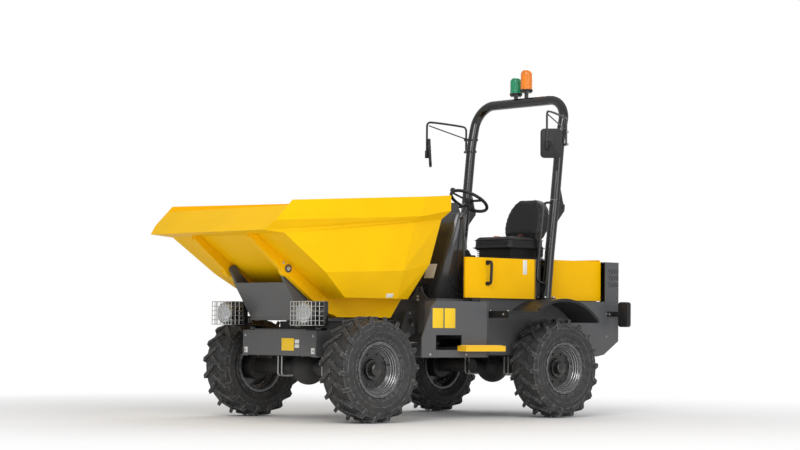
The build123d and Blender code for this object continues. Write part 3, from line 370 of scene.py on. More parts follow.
# Profile of (radius, height) turned about an axis
def addTurned(bm, place, profile, steps=48, slot=0):
    known = set(bm.faces)
    verts = [bm.verts.new(place @ Vector((radius, 0, height))) for radius, height in profile]
    edges = [bm.edges.new(pair) for pair in zip(verts, verts[1:])]
    axis = place.to_3x3() @ Vector((0, 0, 1))
    bmesh.ops.spin(bm, geom=verts + edges, cent=place.translation, axis=axis,
                   dvec=(0, 0, 0), angle=math.tau, steps=steps, use_merge=True,
                   use_duplicate=False)
    fresh = {vert for face in bm.faces if face not in known for vert in face.verts}
    bmesh.ops.remove_doubles(bm, verts=list(fresh), dist=0.00001)
    tagNew(bm, known, slot)


# Round bar or pipe on a smooth line through control points
def addPipe(bm, points, radius, slot=0, order=3):
    known = set(bm.faces)
    curve = bpy.data.curves.new("pipe", "CURVE")
    curve.dimensions = "3D"
    curve.bevel_depth = radius
    curve.bevel_resolution = 3
    curve.use_fill_caps = True
    line = curve.splines.new("NURBS")
    line.points.add(len(points) - 1)
    for spot, point in zip(line.points, points):
        spot.co = (*point, 1)
    line.order_u = order
    line.use_endpoint_u = True
    line.resolution_u = 8
    carrier = bpy.data.objects.new("pipe", curve)
    mesh = bpy.data.meshes.new_from_object(carrier)
    bm.from_mesh(mesh)
    bpy.data.objects.remove(carrier)
    bpy.data.curves.remove(curve)
    bpy.data.meshes.remove(mesh)
    tagNew(bm, known, slot)


def keep(bm, name, body, *finishNames):
    bmesh.ops.recalc_face_normals(bm, faces=bm.faces)
    piece = addMesh(name, bm)
    for finish in finishNames:
        piece.data.materials.append(finishes[finish])
    piece.data.set_sharp_from_angle(angle=sharpAngle)
    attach(piece, body)
    return piece


# Plate with round corners, standing across the place's Z axis
def addPlate(bm, place, size, corner, rounding=0.002, slot=0):
    known = set(bm.faces)
    made = bmesh.ops.create_cube(bm, size=1, matrix=place @ Matrix.Diagonal((*size, 1)))
    out = place.to_3x3() @ Vector((0, 0, 1))
    uprights = list({edge for vert in made["verts"] for edge in vert.link_edges
                     if abs((edge.verts[0].co - edge.verts[1].co).normalized().dot(out)) > 0.9})
    roundOff(bm, uprights, corner, 6)
    bm.normal_update()
    caps = [face for face in bm.faces if face not in known and abs(face.normal.dot(out)) > 0.9]
    edges = list({edge for cap in caps for edge in cap.edges})
    roundOff(bm, edges, rounding)
    tagNew(bm, known, slot)


# Frame whose Z axis is a direction and whose Y axis leans as little as it can
def facing(point, direction):
    out = Vector(direction).normalized()
    across = Vector((0, 0, 1)).cross(out).normalized()
    turn = Matrix((across, out.cross(across), out)).transposed().to_4x4()
    return shift(point) @ turn


# Wheels: rolled steps in the rim, nuts, hub bolts, cap, valve and rings on the side walls
wheelLook = {
    "nuts": 8, "nutCircle": 0.122, "nutSize": 0.0125, "hubBolts": 8, "hubCircle": 0.065,
    "hubBoltSize": 0.006, "ridge": 0.004, "disc": 0.0295, "hub": 0.0495,
    "steps": ((0.182, 0.09), (0.175, 0.072), (0.1665, 0.052)),
    "sideRings": ((0.232, 0.1135), (0.246, 0.1205), (0.336, 0.1345)),
}


def dressWheel(place, side):
    look = wheelLook
    low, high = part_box("tyre_" + place)
    middle = (low + high) / 2
    out = Vector((0, side, 0))
    turn = aim(middle, out)
    bm = bmesh.new()
    disc, hub = look["disc"], look["hub"]
    for count, circle, size, height, offset in (
            (look["nuts"], look["nutCircle"], look["nutSize"], 0.028, 0.5),
            (look["hubBolts"], look["hubCircle"], look["hubBoltSize"], hub, 0)):
        for i in range(count):
            angle = math.tau * (i + offset) / count
            spot = turn @ Vector((math.cos(angle) * circle, math.sin(angle) * circle, height))
            addBolt(bm, spot, out, size, 2)
    # Rolled steps that run down from the flange to a dark disc
    steps = [(0.1883, 0.104)]
    for radius, depth in look["steps"]:
        steps += [(radius + 0.0055, depth + 0.006), (radius + 0.002, depth + 0.004),
                  (radius, depth), (radius - 0.0005, depth - 0.007)]
    addTurned(bm, turn, steps + [(0.15, disc)], 96, 0)
    # Thin bright zinc ridges on each step's crown: painted highlights along the rim's step edges
    for radius, depth in look["steps"]:
        addTurned(bm, turn, [(radius + 0.004, depth + 0.0055), (radius + 0.0056, depth + 0.0078),
                             (radius + 0.0072, depth + 0.0055)], 96, 1)
    addTurned(bm, turn, [(0.153, disc - 0.001), (0.151, disc + 0.002), (0.1, disc), (0.096, 0.034),
                         (0.09, 0.0345), (0.0785, disc)], 72, 2)
    addTurned(bm, turn, [(0.0785, 0.03), (0.0785, hub - 0.0003), (0.0775, hub), (0.052, hub)],
              72, 2)
    # Dark domed cap over the hub
    addTurned(bm, turn, [(0.0525, hub), (0.0545, 0.053), (0.0545, 0.074), (0.05, 0.086),
                         (0.038, 0.0925), (0.015, 0.0935), (0, 0.0938)], 56, 2)
    valve = turn @ Vector((0.152, 0.03, 0.03))
    addPipe(bm, [valve, valve + out * 0.012, valve + out * 0.03 + Vector((0, 0, 0.012))], 0.004, 2)
    keep(bm, "wheelFittings_" + place, "wheel_" + place, "rim_paint", "zinc", "black_paint")
    bm = bmesh.new()
    ridge = look["ridge"]
    for face in (1, -1):
        for radius, offset in look["sideRings"]:
            addTurned(bm, turn, [(radius - 0.006, face * (offset - 0.004)),
                                 (radius - 0.002, face * (offset + ridge)),
                                 (radius + 0.002, face * (offset + ridge)),
                                 (radius + 0.008, face * (offset - 0.004))], 96, 0)
    keep(bm, "tyreRings_" + place, "wheel_" + place, "tyre")


for place, side in (("front_left", 1), ("front_right", -1), ("rear_left", 1), ("rear_right", -1)):
    dressWheel(place, side)
print("wheels dressed")


# Headlamps: a bright bowl in a cage of wires ahead of a black housing, on its foot
lampLook = {
    "across": 0.505, "half": 0.13, "front": 1.594, "rear": 1.47, "depth": 0.05, "low": 0.75,
    "high": 0.94, "bowl": 0.086, "wire": 0.0032, "columns": 7, "rows": 5, "footRear": 1.27,
    "footY": 0.415, "footHalf": 0.03, "footLow": 0.712,
}


def dressHeadlamps():
    look = lampLook
    bm = bmesh.new()
    front, rear, low, high = (look[key] for key in ("front", "rear", "low", "high"))
    wire, middle, footRear = look["wire"], (low + high) / 2, look["footRear"]

    def addWire(start, end):
        addRound(bm, start, end, wire, sides=8, slot=1)

    for side in (1, -1):
        across = side * look["across"]
        inner, outer = across - look["half"], across + look["half"]
        # Black housing round the bowl's neck, and the foot that carries it
        addBox(bm, (rear - look["depth"], inner, low), (rear, outer, high), 0.006)
        addBox(bm, (rear - 0.002, inner, low), (front - 0.004, outer, low + 0.004), 0.001)
        foot = [side * look["footY"] + way * look["footHalf"] for way in (-1, 1)]
        addBox(bm, (footRear, foot[0], low - 0.012), (front - 0.05, foot[1], low), 0.001)
        addBox(bm, (footRear, foot[0], look["footLow"]), (footRear + 0.07, foot[1], low - 0.01),
               0.001)
        # Wires across the front, over the top and down both sides
        edges = (inner + wire, outer - wire)
        for i in range(look["columns"] + 1):
            y = edges[0] + (edges[1] - edges[0]) * i / look["columns"]
            addWire((front - wire, y, low + wire), (front - wire, y, high - wire))
            addWire((rear - 0.001, y, high - wire), (front - wire, y, high - wire))
        for i in range(look["rows"] + 1):
            z = low + wire + (high - low - 2 * wire) * i / look["rows"]
            addWire((front - wire, edges[0], z), (front - wire, edges[1], z))
            for y in edges:
                addWire((rear - 0.001, y, z), (front - wire, y, z))
        for x in (rear + 0.04, rear + 0.08):
            for y in edges:
                addWire((x, y, low + wire), (x, y, high - wire))
            addWire((x, edges[0], high - wire), (x, edges[1], high - wire))
        bowl = aim(Vector((front - 0.028, across, middle)), (1, 0, 0))
        radius = look["bowl"]
        addTurned(bm, bowl, [(0.028, -0.1), (0.05, -0.082), (0.072, -0.045),
                             (radius - 0.002, -0.012), (radius, 0.0), (radius - 0.002, 0.004),
                             (radius - 0.006, 0.002)], 56, 1)
        addTurned(bm, bowl, [(0, 0.012), (radius * 0.5, 0.0095), (radius * 0.85, 0.005),
                             (radius - 0.006, 0.001)], 56, 2)
        for offset in (-0.1, 0.1):
            addBolt(bm, (rear - 0.025, across + offset, high - 0.001), (0, 0, 1), 0.006, 1)
    piece = keep(bm, "headlampCages", "front_chassis", "black_paint", "zinc", "bright_reflector")
    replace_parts(piece, "headlamps")


dressHeadlamps()


# The shield ahead of the footwell: closed round corners, a rolled top edge and an even wall
towerLook = {
    "rear": -0.205, "half": 0.45, "wall": 0.006, "footZ": 0.985, "footX": 0.104, "headZ": 1.7,
    "headX": -0.128, "corner": 0.072, "roll": 0.008,
}


def dressTower():
    look = towerLook
    bm = bmesh.new()
    made = bmesh.ops.create_cube(bm, size=1)
    for vert in made["verts"]:
        high, front = vert.co.z > 0, vert.co.x > 0
        vert.co.y *= 2 * look["half"]
        vert.co.z = look["headZ"] if high else look["footZ"]
        vert.co.x = (look["headX"] if high else look["footX"]) if front else look["rear"]
    bmesh.ops.recalc_face_normals(bm, faces=bm.faces)
    openings = [face for face in bm.faces if face.normal.z < -0.9 or face.normal.x < -0.9]
    bmesh.ops.delete(bm, geom=openings, context="FACES")
    corners = [edge for edge in bm.edges if all(vert.co.x > look["rear"] for vert in edge.verts)
               and abs(edge.verts[0].co.z - edge.verts[1].co.z) > 0.1]
    roundOff(bm, corners, look["corner"], 8)
    rim = [edge for edge in bm.edges if len(edge.link_faces) == 2
           and all(vert.co.z > look["headZ"] - 0.001 for vert in edge.verts)]
    roundOff(bm, rim, look["roll"], 3)
    for face in bm.faces:
        face.smooth = True
    piece = keep(bm, "towerShield", "rear_chassis", "tower_grey")
    wall = piece.modifiers.new("wall", "SOLIDIFY")
    wall.thickness = look["wall"]
    wall.offset = -1
    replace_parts(piece, "tower")


dressTower()


# Rods beside the shield and moulded handles on the panels
railLook = {
    "rodX": -0.16, "rodY": 0.484, "rodLow": 1.01, "rodHigh": 1.672, "rod": 0.009,
    "brackets": (1.037, 1.657), "wallY": 0.4495, "handleX": -0.333, "grip": 0.0125,
    "handle": ((0.59, 1.296), (0.626, 1.297), (0.64, 1.286), (0.64, 1.25), (0.635, 1.16),
        (0.634, 1.128), (0.622, 1.113), (0.59, 1.112)), "pads": ((1.289, 0.036), (1.114, 0.032)),
}


def dressRails():
    look = railLook
    rodX, rod = look["rodX"], look["rod"]
    bm = bmesh.new()
    for side in (1, -1):
        y = side * look["rodY"]
        addRound(bm, (rodX, y, look["rodLow"]), (rodX, y, look["rodHigh"]), rod, rounding=0.002)
        for z in look["brackets"]:
            addBox(bm, (rodX - rod, side * look["wallY"], z - 0.007), (rodX + rod, y, z + 0.007),
                   0.001)
        path = [(look["handleX"], side * y, z) for y, z in look["handle"]]
        addPipe(bm, path, look["grip"], 1)
        for z, height in look["pads"]:
            place = facing((look["handleX"], side * 0.594, z), (0, side, 0))
            addPlate(bm, place, (0.042, height, 0.008), 0.008, 0.001, 1)
    piece = keep(bm, "grabRails", "rear_chassis", "black_paint", "black_plastic")
    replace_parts(piece, "grab_rails")


dressRails()


# Blank labels by body and finish: low corner, high corner, on both sides
labelRows = {
    ("rear_chassis", "label_yellow"): [
        ((0.266, 0.6985, 0.742), (0.384, 0.7008, 0.902), True),
        ((0.134, 0.6985, 0.742), (0.252, 0.7008, 0.902), True)],
    ("front_chassis", "label_yellow"): [
        ((1.3985, 0.035, 0.552), (1.4008, 0.19, 0.65), False)],
    ("front_chassis", "label_white"): [
        ((1.3985, 0.2, 0.61), (1.4008, 0.255, 0.64), False),
        ((1.3985, 0.2, 0.575), (1.4008, 0.255, 0.602), False),
        ((1.3985, 0.403, 0.53), (1.4008, 0.446, 0.575), True)],
    ("rear_chassis", "label_white"): [
        ((-0.8, 0.5885, 1.2), (-0.752, 0.5908, 1.322), True),
        ((0.1145, 0.212, 0.994), (0.1168, 0.24, 1.01), False),
        ((0.1145, 0.212, 0.966), (0.1168, 0.24, 0.984), False)],
}


def addLabels():
    for (body, finish), rows in labelRows.items():
        bm = bmesh.new()
        for low, high, twice in rows:
            for side in ((1, -1) if twice else (1,)):
                addBox(bm, (low[0], side * low[1], low[2]), (high[0], side * high[1], high[2]),
                       0.0006)
        keep(bm, "labels_" + finish + "_" + body, body, finish)
    # The tower's label lies on its leaning front face
    bm = bmesh.new()
    place = facing((0.104, 0.286, 0.985), (0.715, 0, 0.232)) @ shift((0, 0.24, 0.0004))
    addBlock(bm, place, (0.12, 0.125, 0.0014), 0.0005)
    keep(bm, "towerLabel", "rear_chassis", "label_white")
    bm = bmesh.new()
    place = facing((0.771, 0.6122, 0.9956), (0, 0.902, -0.431))
    addBlock(bm, place, (0.072, 0.034, 0.0016), 0.0005)
    keep(bm, "skipLabel", "skip", "label_white")


addLabels()


# Bolts by body: first point, step to the next, count, direction, size; all on both sides
boltRows = {
    "rear_chassis": [
        ((-0.36, 0.6, 0.8872), (0, 0.21, 0), 2, (0, 0, 1), 0.008),
        ((-0.3045, 0.61, 0.86), (0, 0.2, 0), 2, (1, 0, 0), 0.008),
        ((0.007, 0.7, 0.53), (0.4, 0, 0), 2, (0, 1, 0), 0.008),
        ((-1.03, 0.585, 1.009), (0, -0.08, 0), 2, (0, 0, 1), 0.011),
        ((-1.13, 0.585, 1.009), (0, -0.08, 0), 2, (0, 0, 1), 0.011),
        ((-1.84, 0.55, 0.88), (0, 0, -0.2), 2, (0, 1, 0), 0.006),
        ((-1.995, 0.5, 0.72), (0, 0, 0.19), 4, (-1, 0, 0), 0.006)],
    "front_chassis": [
        ((1.4, 0.43, 0.55), (0, 0, 0.12), 2, (1, 0, 0), 0.009),
        ((1.25, 0.29, 0.55), (-0.1, 0, 0), 4, (0, 1, 0), 0.01),
        ((0.26, 0.29, 0.86), (-0.03, 0, -0.1), 2, (0, 1, 0), 0.009)],
    "skip": [
        ((1.671, 0.386, 1.236), (0, 0, 0), 1, (0, 1, 0), 0.009)],
    "swivel": [
        ((1.626, 0.392, 1.192), (0, 0, 0), 1, (0, 1, 0), 0.014),
        ((1.21, 0.325, 0.83), (0.07, 0, 0), 3, (0, 1, 0), 0.009)],
}
slewRing = {"count": 20, "centre": 1.005, "circle": 0.275, "top": 0.812, "size": 0.01}


def addBolts():
    for body, rows in boltRows.items():
        bm = bmesh.new()
        for first, step, count, direction, size in rows:
            for i in range(count):
                point = Vector(first) + Vector(step) * i
                for side in (1, -1):
                    addBolt(bm, (point.x, side * point.y, point.z),
                            (direction[0], side * direction[1], direction[2]), size)
        # Ring of bolts that clamps the slew bearing to the swivelling plate
        for i in range(slewRing["count"] if body == "swivel" else 0):
            angle, radius = math.tau * (i + 0.5) / slewRing["count"], slewRing["circle"]
            addBolt(bm, (slewRing["centre"] + radius * math.cos(angle), radius * math.sin(angle),
                         slewRing["top"]), (0, 0, 1), slewRing["size"])
        keep(bm, "bolts_" + body, body, "zinc")


addBolts()
print("labels and bolts placed")


# Steps: rows of teeth along the tread
stepLook = {
    "rows": 4, "teeth": 26, "firstY": 0.712, "rowGap": 0.025, "pitch": 0.016, "low": 0.5995,
    "high": 0.606,
}


def dressSteps():
    look = stepLook
    bm = bmesh.new()
    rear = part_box("steps")[0].x
    for side in (1, -1):
        for row in range(look["rows"]):
            y = side * (look["firstY"] + look["rowGap"] * row)
            for i in range(look["teeth"]):
                x = rear + 0.025 + look["pitch"] * i
                addRound(bm, (x, y, look["low"]), (x, y, look["high"]), 0.0075, 0.0035, sides=4)
    keep(bm, "stepTeeth", "rear_chassis", "step_yellow")


# Rubber floor mat with round studs, and ribs on the pedals
matLook = {
    "rear": -0.88, "front": -0.3, "half": 0.5, "low": 0.9925, "high": 0.997, "stud": 0.003,
    "columns": 12, "rows": 20, "columnGap": 0.048, "rowGap": 0.05,
    "pedals": ((-0.247, -0.11), (-0.247, 0.095)), "pedalZ": 1.118, "pedalTurn": 0.335, "ribs": 5,
    "ribGap": 0.017, "rib": (0.006, 0.068, 0.006),
}


def addMat():
    look = matLook
    top = look["high"]
    bm = bmesh.new()
    half, rear = look["half"], look["rear"]
    addBox(bm, (rear, -half, look["low"]), (look["front"], half, top), 0.002)
    for i in range(look["columns"]):
        for j in range(look["rows"]):
            x = rear + 0.02 + look["columnGap"] * i + (0.012 if j % 2 else 0)
            y = -half + 0.025 + look["rowGap"] * j
            addRound(bm, (x, y, top - 0.0005), (x, y, top + look["stud"]), 0.011, 0.008, sides=10)
    for x, y in look["pedals"]:
        pedal = shift((x, y, look["pedalZ"])) @ Matrix.Rotation(look["pedalTurn"], 4, "Y")
        for i in range(look["ribs"]):
            rib = pedal @ shift((-0.006, 0, -0.034 + look["ribGap"] * i))
            addBlock(bm, rib, look["rib"], 0.001)
    keep(bm, "floorMat", "rear_chassis", "floor_rubber")


# Dash: two dials, warning lamps, switches and a key on the face towards the seat
dashLook = {
    "face": (-0.37, 0, 1.76), "out": (-0.08, 0, 0.04), "plate": (0.37, 0.08, 0.004),
    "dials": (-0.075, 0.075), "steps": 40,
    "rim": ((0.034, 0), (0.034, 0.006), (0.031, 0.009), (0.028, 0.004)),
    "dial": ((0, 0.003), (0.029, 0.003)), "needle": (0.0022, 0.022, 0.001), "needleTurn": 0.8,
    "lamps": 4, "firstLamp": -0.021, "lampGap": 0.014, "lamp": 0.004,
    "rockers": (-0.155, -0.13, 0.13), "rocker": (0.018, 0.034, 0.009), "rockerTurn": 0.2,
    "lock": (0.162, 0, 0.002), "key": (0.003, 0.02, 0.026),
}


def dressDash():
    look = dashLook
    bm = bmesh.new()
    face = facing(look["face"], look["out"])
    addBlock(bm, face @ shift((0, 0, 0.001)), look["plate"], 0.0015)
    for x in look["dials"]:
        dial = face @ shift((x, 0.002, 0.003))
        addTurned(bm, dial, look["rim"], look["steps"])
        addTurned(bm, dial, look["dial"], look["steps"], 1)
        needle = dial @ Matrix.Rotation(look["needleTurn"], 4, "Z") @ shift((0, 0.01, 0.0045))
        addBlock(bm, needle, look["needle"], slot=2)
        addRound(bm, dial @ Vector((0, 0, 0.003)), dial @ Vector((0, 0, 0.007)), 0.003, sides=14)
    for i in range(look["lamps"]):
        spot = Vector((look["firstLamp"] + look["lampGap"] * i, 0.022, 0.002))
        addRound(bm, face @ spot, face @ (spot + Vector((0, 0, 0.004))), look["lamp"], sides=14,
                 slot=3)
    for x in look["rockers"]:
        rocker = face @ shift((x, 0, 0.004)) @ Matrix.Rotation(look["rockerTurn"], 4, "X")
        addBlock(bm, rocker, look["rocker"], 0.002)
    lock = Vector(look["lock"])
    addRound(bm, face @ lock, face @ (lock + Vector((0, 0, 0.009))), 0.012, 0.01,
             rounding=0.001, slot=4)
    addBlock(bm, face @ shift(lock + Vector((0, 0, 0.02))), look["key"], 0.001, 4)
    keep(bm, "dashInstruments", "rear_chassis", "black_plastic", "dial_face", "orange_knob",
         "amber_lens", "zinc")


# Lever beside the seat in its rubber boot
leverLook = {
    "foot": (-1.0, -0.36, 1.338), "base": ((-0.07, -0.05, 0), (0.07, 0.05, 0.05)),
    "boot": ((0.042, 0.048), (0.04, 0.06), (0.033, 0.062), (0.035, 0.072), (0.026, 0.076),
        (0.028, 0.086), (0.018, 0.092), (0.01, 0.1)),
    "rod": ((0, 0, 0.09), (0, 0, 0.16), (0.03, 0.01, 0.22)), "bar": 0.006,
    "knob": ((0, 0), (0.014, 0.002), (0.02, 0.014), (0.022, 0.03), (0.017, 0.044), (0, 0.05)),
    "knobAt": (0.03, 0.01, 0.215),
}


def addLever():
    look = leverLook
    bm = bmesh.new()
    foot = Vector(look["foot"])
    addBox(bm, *(foot + Vector(corner) for corner in look["base"]), 0.008)
    addTurned(bm, shift(foot), look["boot"], 36, 1)
    addPipe(bm, [foot + Vector(point) for point in look["rod"]], look["bar"], 2)
    addTurned(bm, shift(foot + Vector(look["knobAt"])), look["knob"], 32, 3)
    keep(bm, "leverRight", "rear_chassis", "black_plastic", "floor_rubber", "zinc", "black_plastic")


# Mirrors turned in to the driver on bent arms; each arm has a brace and a clamp on the hoop
mirrorLook = {
    "post": (-1.235, 0.623), "rod": (-0.867, 0.748), "low": 2.32, "clamp": 2.44, "top": 2.575,
    "rodEnd": 2.27, "legs": ((-1.2295, 2.332), (-1.2478, 2.44)), "legY": 0.551,
    "head": (-0.912, 0.757, 2.312), "turn": 0.75, "size": (0.185, 0.25, 0.026), "arm": 0.0095,
    "brace": 0.006,
}


def dressMirrors():
    arms, heads = bmesh.new(), bmesh.new()
    look = mirrorLook
    (postX, postY), (rodX, rodY), top = look["post"], look["rod"], look["top"]
    width, height, depth = look["size"]
    for side in (1, -1):
        path = [(postX, postY, look["low"]), (postX, postY, top - 0.09), (postX, postY, top - 0.02),
                (postX + 0.06, postY + 0.02, top - 0.01), (rodX - 0.06, rodY - 0.02, top + 0.012),
                (rodX, rodY, top + 0.008), (rodX, rodY, top - 0.07), (rodX, rodY, look["rodEnd"])]
        addPipe(arms, [(x, side * y, z) for x, y, z in path], look["arm"])
        addPipe(arms, [(postX, side * postY, look["clamp"] + 0.01),
                       (rodX - 0.02, side * (rodY - 0.006), top - 0.02)], look["brace"], order=2)
        for x, z in look["legs"]:
            leg = Vector((x, side * look["legY"], z))
            addRound(arms, leg - Vector((0, 0, 0.011)), leg + Vector((0, 0, 0.011)), 0.05,
                     rounding=0.002)
            addBox(arms, (postX - 0.016, side * 0.59, z - 0.009),
                   (postX + 0.016, side * 0.637, z + 0.009), 0.002)
            addBolt(arms, (postX, side * 0.637, z), (0, side, 0), 0.008, 1)
        x, y, z = look["head"]
        place = facing((x, side * y, z),
                       (-math.cos(look["turn"]), -side * math.sin(look["turn"]), 0.06))
        addPlate(heads, place, look["size"], 0.034, 0.009)
        glass = place @ shift((0, 0, depth / 2))
        addPlate(heads, glass, (width - 0.024, height - 0.024, 0.002), 0.026, 0.0006, 1)
        back = place @ Vector((0, 0, -depth / 2))
        addPlate(heads, place @ shift((0, 0.01, -depth / 2)), (0.07, 0.09, 0.01),
                 0.02, 0.003)
        rod = Vector((rodX, side * rodY, 2.298))
        addRound(heads, rod - Vector((0, 0, 0.036)), rod + Vector((0, 0, 0.032)), 0.017,
                 rounding=0.003)
        addRound(heads, rod, back, 0.012, sides=16)
    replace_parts(keep(arms, "mirrorArms", "rops", "black_paint", "zinc"), "mirror_arms")
    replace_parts(keep(heads, "mirrorHeads", "rops", "black_plastic", "mirror_glass"), "mirror_heads")


# Beacon collars and the hand wheel's boss and knob
topLook = {
    "collar": ((0.053, -0.004), (0.0565, 0.0), (0.0565, 0.012), (0.0532, 0.016)), "radius": 0.0565,
    "screws": 3, "screw": 0.003, "wheel": (-0.68, 0, 1.84), "lean": 30,
    "boss": ((0.033, 0), (0.031, 0.008), (0.02, 0.013), (0, 0.014)), "offset": 0.118,
    "knob": ((0.008, 0.0), (0.008, 0.018), (0.02, 0.022), (0.024, 0.036), (0.018, 0.05),
        (0, 0.054)),
}


def dressTop():
    look = topLook
    bm = bmesh.new()
    for name in ("beacon_amber", "beacon_green"):
        low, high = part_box(name)
        centre = (low + high) / 2
        foot = Vector((centre.x, centre.y, low.z))
        addTurned(bm, shift(foot), look["collar"], 48)
        for i in range(look["screws"]):
            angle = math.tau * i / look["screws"]
            out = Vector((math.cos(angle), math.sin(angle), 0))
            addBolt(bm, foot + out * look["radius"] + Vector((0, 0, 0.006)), out, look["screw"], 1)
    keep(bm, "beaconCollars", "rops", "black_plastic", "zinc")
    bm = bmesh.new()
    angle = math.radians(look["lean"])
    lean = Vector((-math.sin(angle), 0, math.cos(angle)))
    boss = aim(Vector(look["wheel"]) + lean * 0.006, lean)
    addTurned(bm, boss, look["boss"], 40)
    addTurned(bm, boss @ shift((look["offset"], look["offset"], 0)), look["knob"], 32)
    keep(bm, "handWheelFittings", "hand_wheel", "black_plastic")


# Rear lamps beside the tail on bent brackets, amber over red
rearLampLook = {
    "rear": -1.972, "depth": 0.05, "across": 0.665, "size": (0.11, 0.22), "middle": 0.875,
    "lens": 0.041, "amber": 0.93, "red": 0.822, "bracket": (0.855, 0.9), "wallY": 0.549,
}


def dressRearLamps():
    look = rearLampLook
    back, radius, wallY = look["rear"], look["lens"], look["wallY"]
    low, high = look["bracket"]
    bm = bmesh.new()
    for side in (1, -1):
        y = side * look["across"]
        addPlate(bm, facing((back + look["depth"] / 2, y, look["middle"]), (-1, 0, 0)),
                 (*look["size"], look["depth"]), 0.024, 0.006)
        addBox(bm, (back + 0.049, side * wallY, low), (back + 0.055, side * 0.63, high), 0.001)
        addBox(bm, (back + 0.05, side * wallY, low), (back + 0.13, side * 0.556, high), 0.001)
        addBolt(bm, (back + 0.1, side * 0.556, 0.877), (0, side, 0), 0.008, 3)
        for key, slot in (("amber", 1), ("red", 2)):
            place = aim(Vector((back, y, look[key])), (-1, 0, 0))
            addTurned(bm, place, [(radius + 0.006, -0.001), (radius + 0.005, 0.006),
                                  (radius, 0.007), (radius, 0.002)], 48)
            addTurned(bm, place, [(radius, 0.002), (radius - 0.002, 0.012),
                                  (radius * 0.6, 0.016), (0, 0.017)], 48, slot)
    piece = keep(bm, "rearLampPairs", "rear_chassis", "black_plastic", "amber_lens", "red_lens",
                 "zinc")
    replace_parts(piece, "rear_lamps")


# Bolts that clamp the axle tubes, hoses down to their motors and seals under the hood
underLook = {
    "axles": ((1.09, 0.28, -0.13, "front_chassis"), (-0.98, 0.242, 0.13, "rear_chassis")),
    "clamp": ((-0.0705, 0.5), (-0.0705, 0.4), (-0.0705, 0.344), (0, 0.344), (0.0705, 0.344),
        (0.0705, 0.4), (0.0705, 0.5)), "clampGap": 0.024, "clampBar": 0.007, "hose": 0.011,
    "hoses": (-0.1, -0.06, 0.08), "sealLow": (-1.812, 0.44, 0.985),
    "sealHigh": (-1.15, 0.456, 1.012),
}


def addUnderParts():
    look = underLook
    for x, pad, back, body in look["axles"]:
        bm = bmesh.new()
        for side in (-1, 1):
            for offset in (-look["clampGap"], look["clampGap"]):
                y = side * pad + offset
                addPipe(bm, [(x + dx, y, z) for dx, z in look["clamp"]], look["clampBar"])
        for y in look["hoses"]:
            addPipe(bm, [(x + back, y, 0.6), (x + back * 1.1, y, 0.5),
                         (x + back * 0.9, y * 1.3, 0.45), (x + back * 0.5, y * 1.2, 0.43)],
                    look["hose"], 1)
        keep(bm, "axleClamps_" + body, body, "zinc", "floor_rubber")
    bm = bmesh.new()
    (x0, y0, z0), (x1, y1, z1) = look["sealLow"], look["sealHigh"]
    for side in (1, -1):
        addBox(bm, (x0, side * y0, z0), (x1, side * y1, z1), 0.003)
    keep(bm, "hoodSeals", "rear_chassis", "floor_rubber")


# Dark mesh screen inside the tail's louvres, and lugs that hold the skip's pins
screenLook = {
    "rear": -1.955, "front": -1.951, "half": 0.44, "low": 1.02, "high": 1.29, "bars": 18,
    "gap": 0.05, "bar": 0.002,
}
lugLook = {
    "face": 0.3795, "thickness": 0.006,
    "outline": ((1.689, 1.325), (1.712, 1.26), (1.702, 1.19), (1.672, 1.148), (1.61, 1.135),
        (1.482, 1.2)),
}


def addScreenAndLugs():
    low, high, half, front = (screenLook[key] for key in ("low", "high", "half", "front"))
    bm = bmesh.new()
    addBox(bm, (screenLook["rear"], -half, low), (front, half, high), 0.001)
    for i in range(screenLook["bars"]):
        y = -half + 0.015 + screenLook["gap"] * i
        addBox(bm, (front - 0.0005, y - screenLook["bar"], low),
               (front + 0.002, y + screenLook["bar"], high))
    keep(bm, "tailScreen", "rear_chassis", "black_plastic")
    bm = bmesh.new()
    for side in (1, -1):
        corners = [bm.verts.new((x, side * lugLook["face"], z)) for x, z in lugLook["outline"]]
        made = bmesh.ops.extrude_face_region(bm, geom=[bm.faces.new(corners)])
        raised = [item for item in made["geom"] if isinstance(item, bmesh.types.BMVert)]
        bmesh.ops.translate(bm, verts=raised, vec=(0, side * lugLook["thickness"], 0))
    keep(bm, "pinLugs", "skip", "skip_yellow")


dressSteps()
dressRearLamps()
addUnderParts()
addScreenAndLugs()
addMat()
dressDash()
addLever()
dressMirrors()
dressTop()
print("operator's place dressed")


# Seat: cushion and backrest swell under a taut cover, then get piping and a belt
seatLook = {
    "voxel": 0.009, "frames": 18, "cushionCap": 0.012, "backCap": 0.016, "piping": 0.0045,
}
clothLook = {
    "quality": 5, "tension_stiffness": 12, "compression_stiffness": 12, "bending_stiffness": 0.4,
    "use_pressure": True, "uniform_pressure_force": 4.0,
}
# Belt boxes as low corner, high corner, rounding and slot; the clasp's heights start at the belt
beltLook = {
    "x": -1.29, "band": (0.048, 0.003), "reach": ((1, 0.05), (-1, 0.02)),
    "anchors": (((-1.322, 0.245, 1.37), (-1.258, 0.275, 1.46), 0.006, 2), ((-1.312, -0.278, 1.4),
        (-1.25, -0.25, 1.565), 0.008, 1)),
    "clasp": (((-1.318, 0.0, 0.002), (-1.262, 0.075, 0.022), 0.005, 2), ((-1.304, 0.012, 0.021),
        (-1.276, 0.045, 0.026), 0.002, 1)),
}


# Backrest that narrows to a round head and wraps forward at its sides
def shapeBack(piece):
    points = [vert.co for vert in piece.data.vertices]
    low, high = min(point.z for point in points), max(point.z for point in points)
    half = max(point.y for point in points)
    for point in points:
        share = (point.z - low) / (high - low)
        if share < 0.35:
            width = 0.8 + 0.2 * math.sin(math.pi / 2 * share / 0.35)
        else:
            width = math.sqrt(1 - 0.86 * ((share - 0.35) / 0.65) ** 2.4)
        point.x += 0.045 * (point.y / half) ** 2 * (1 - 0.5 * share)
        point.y *= width


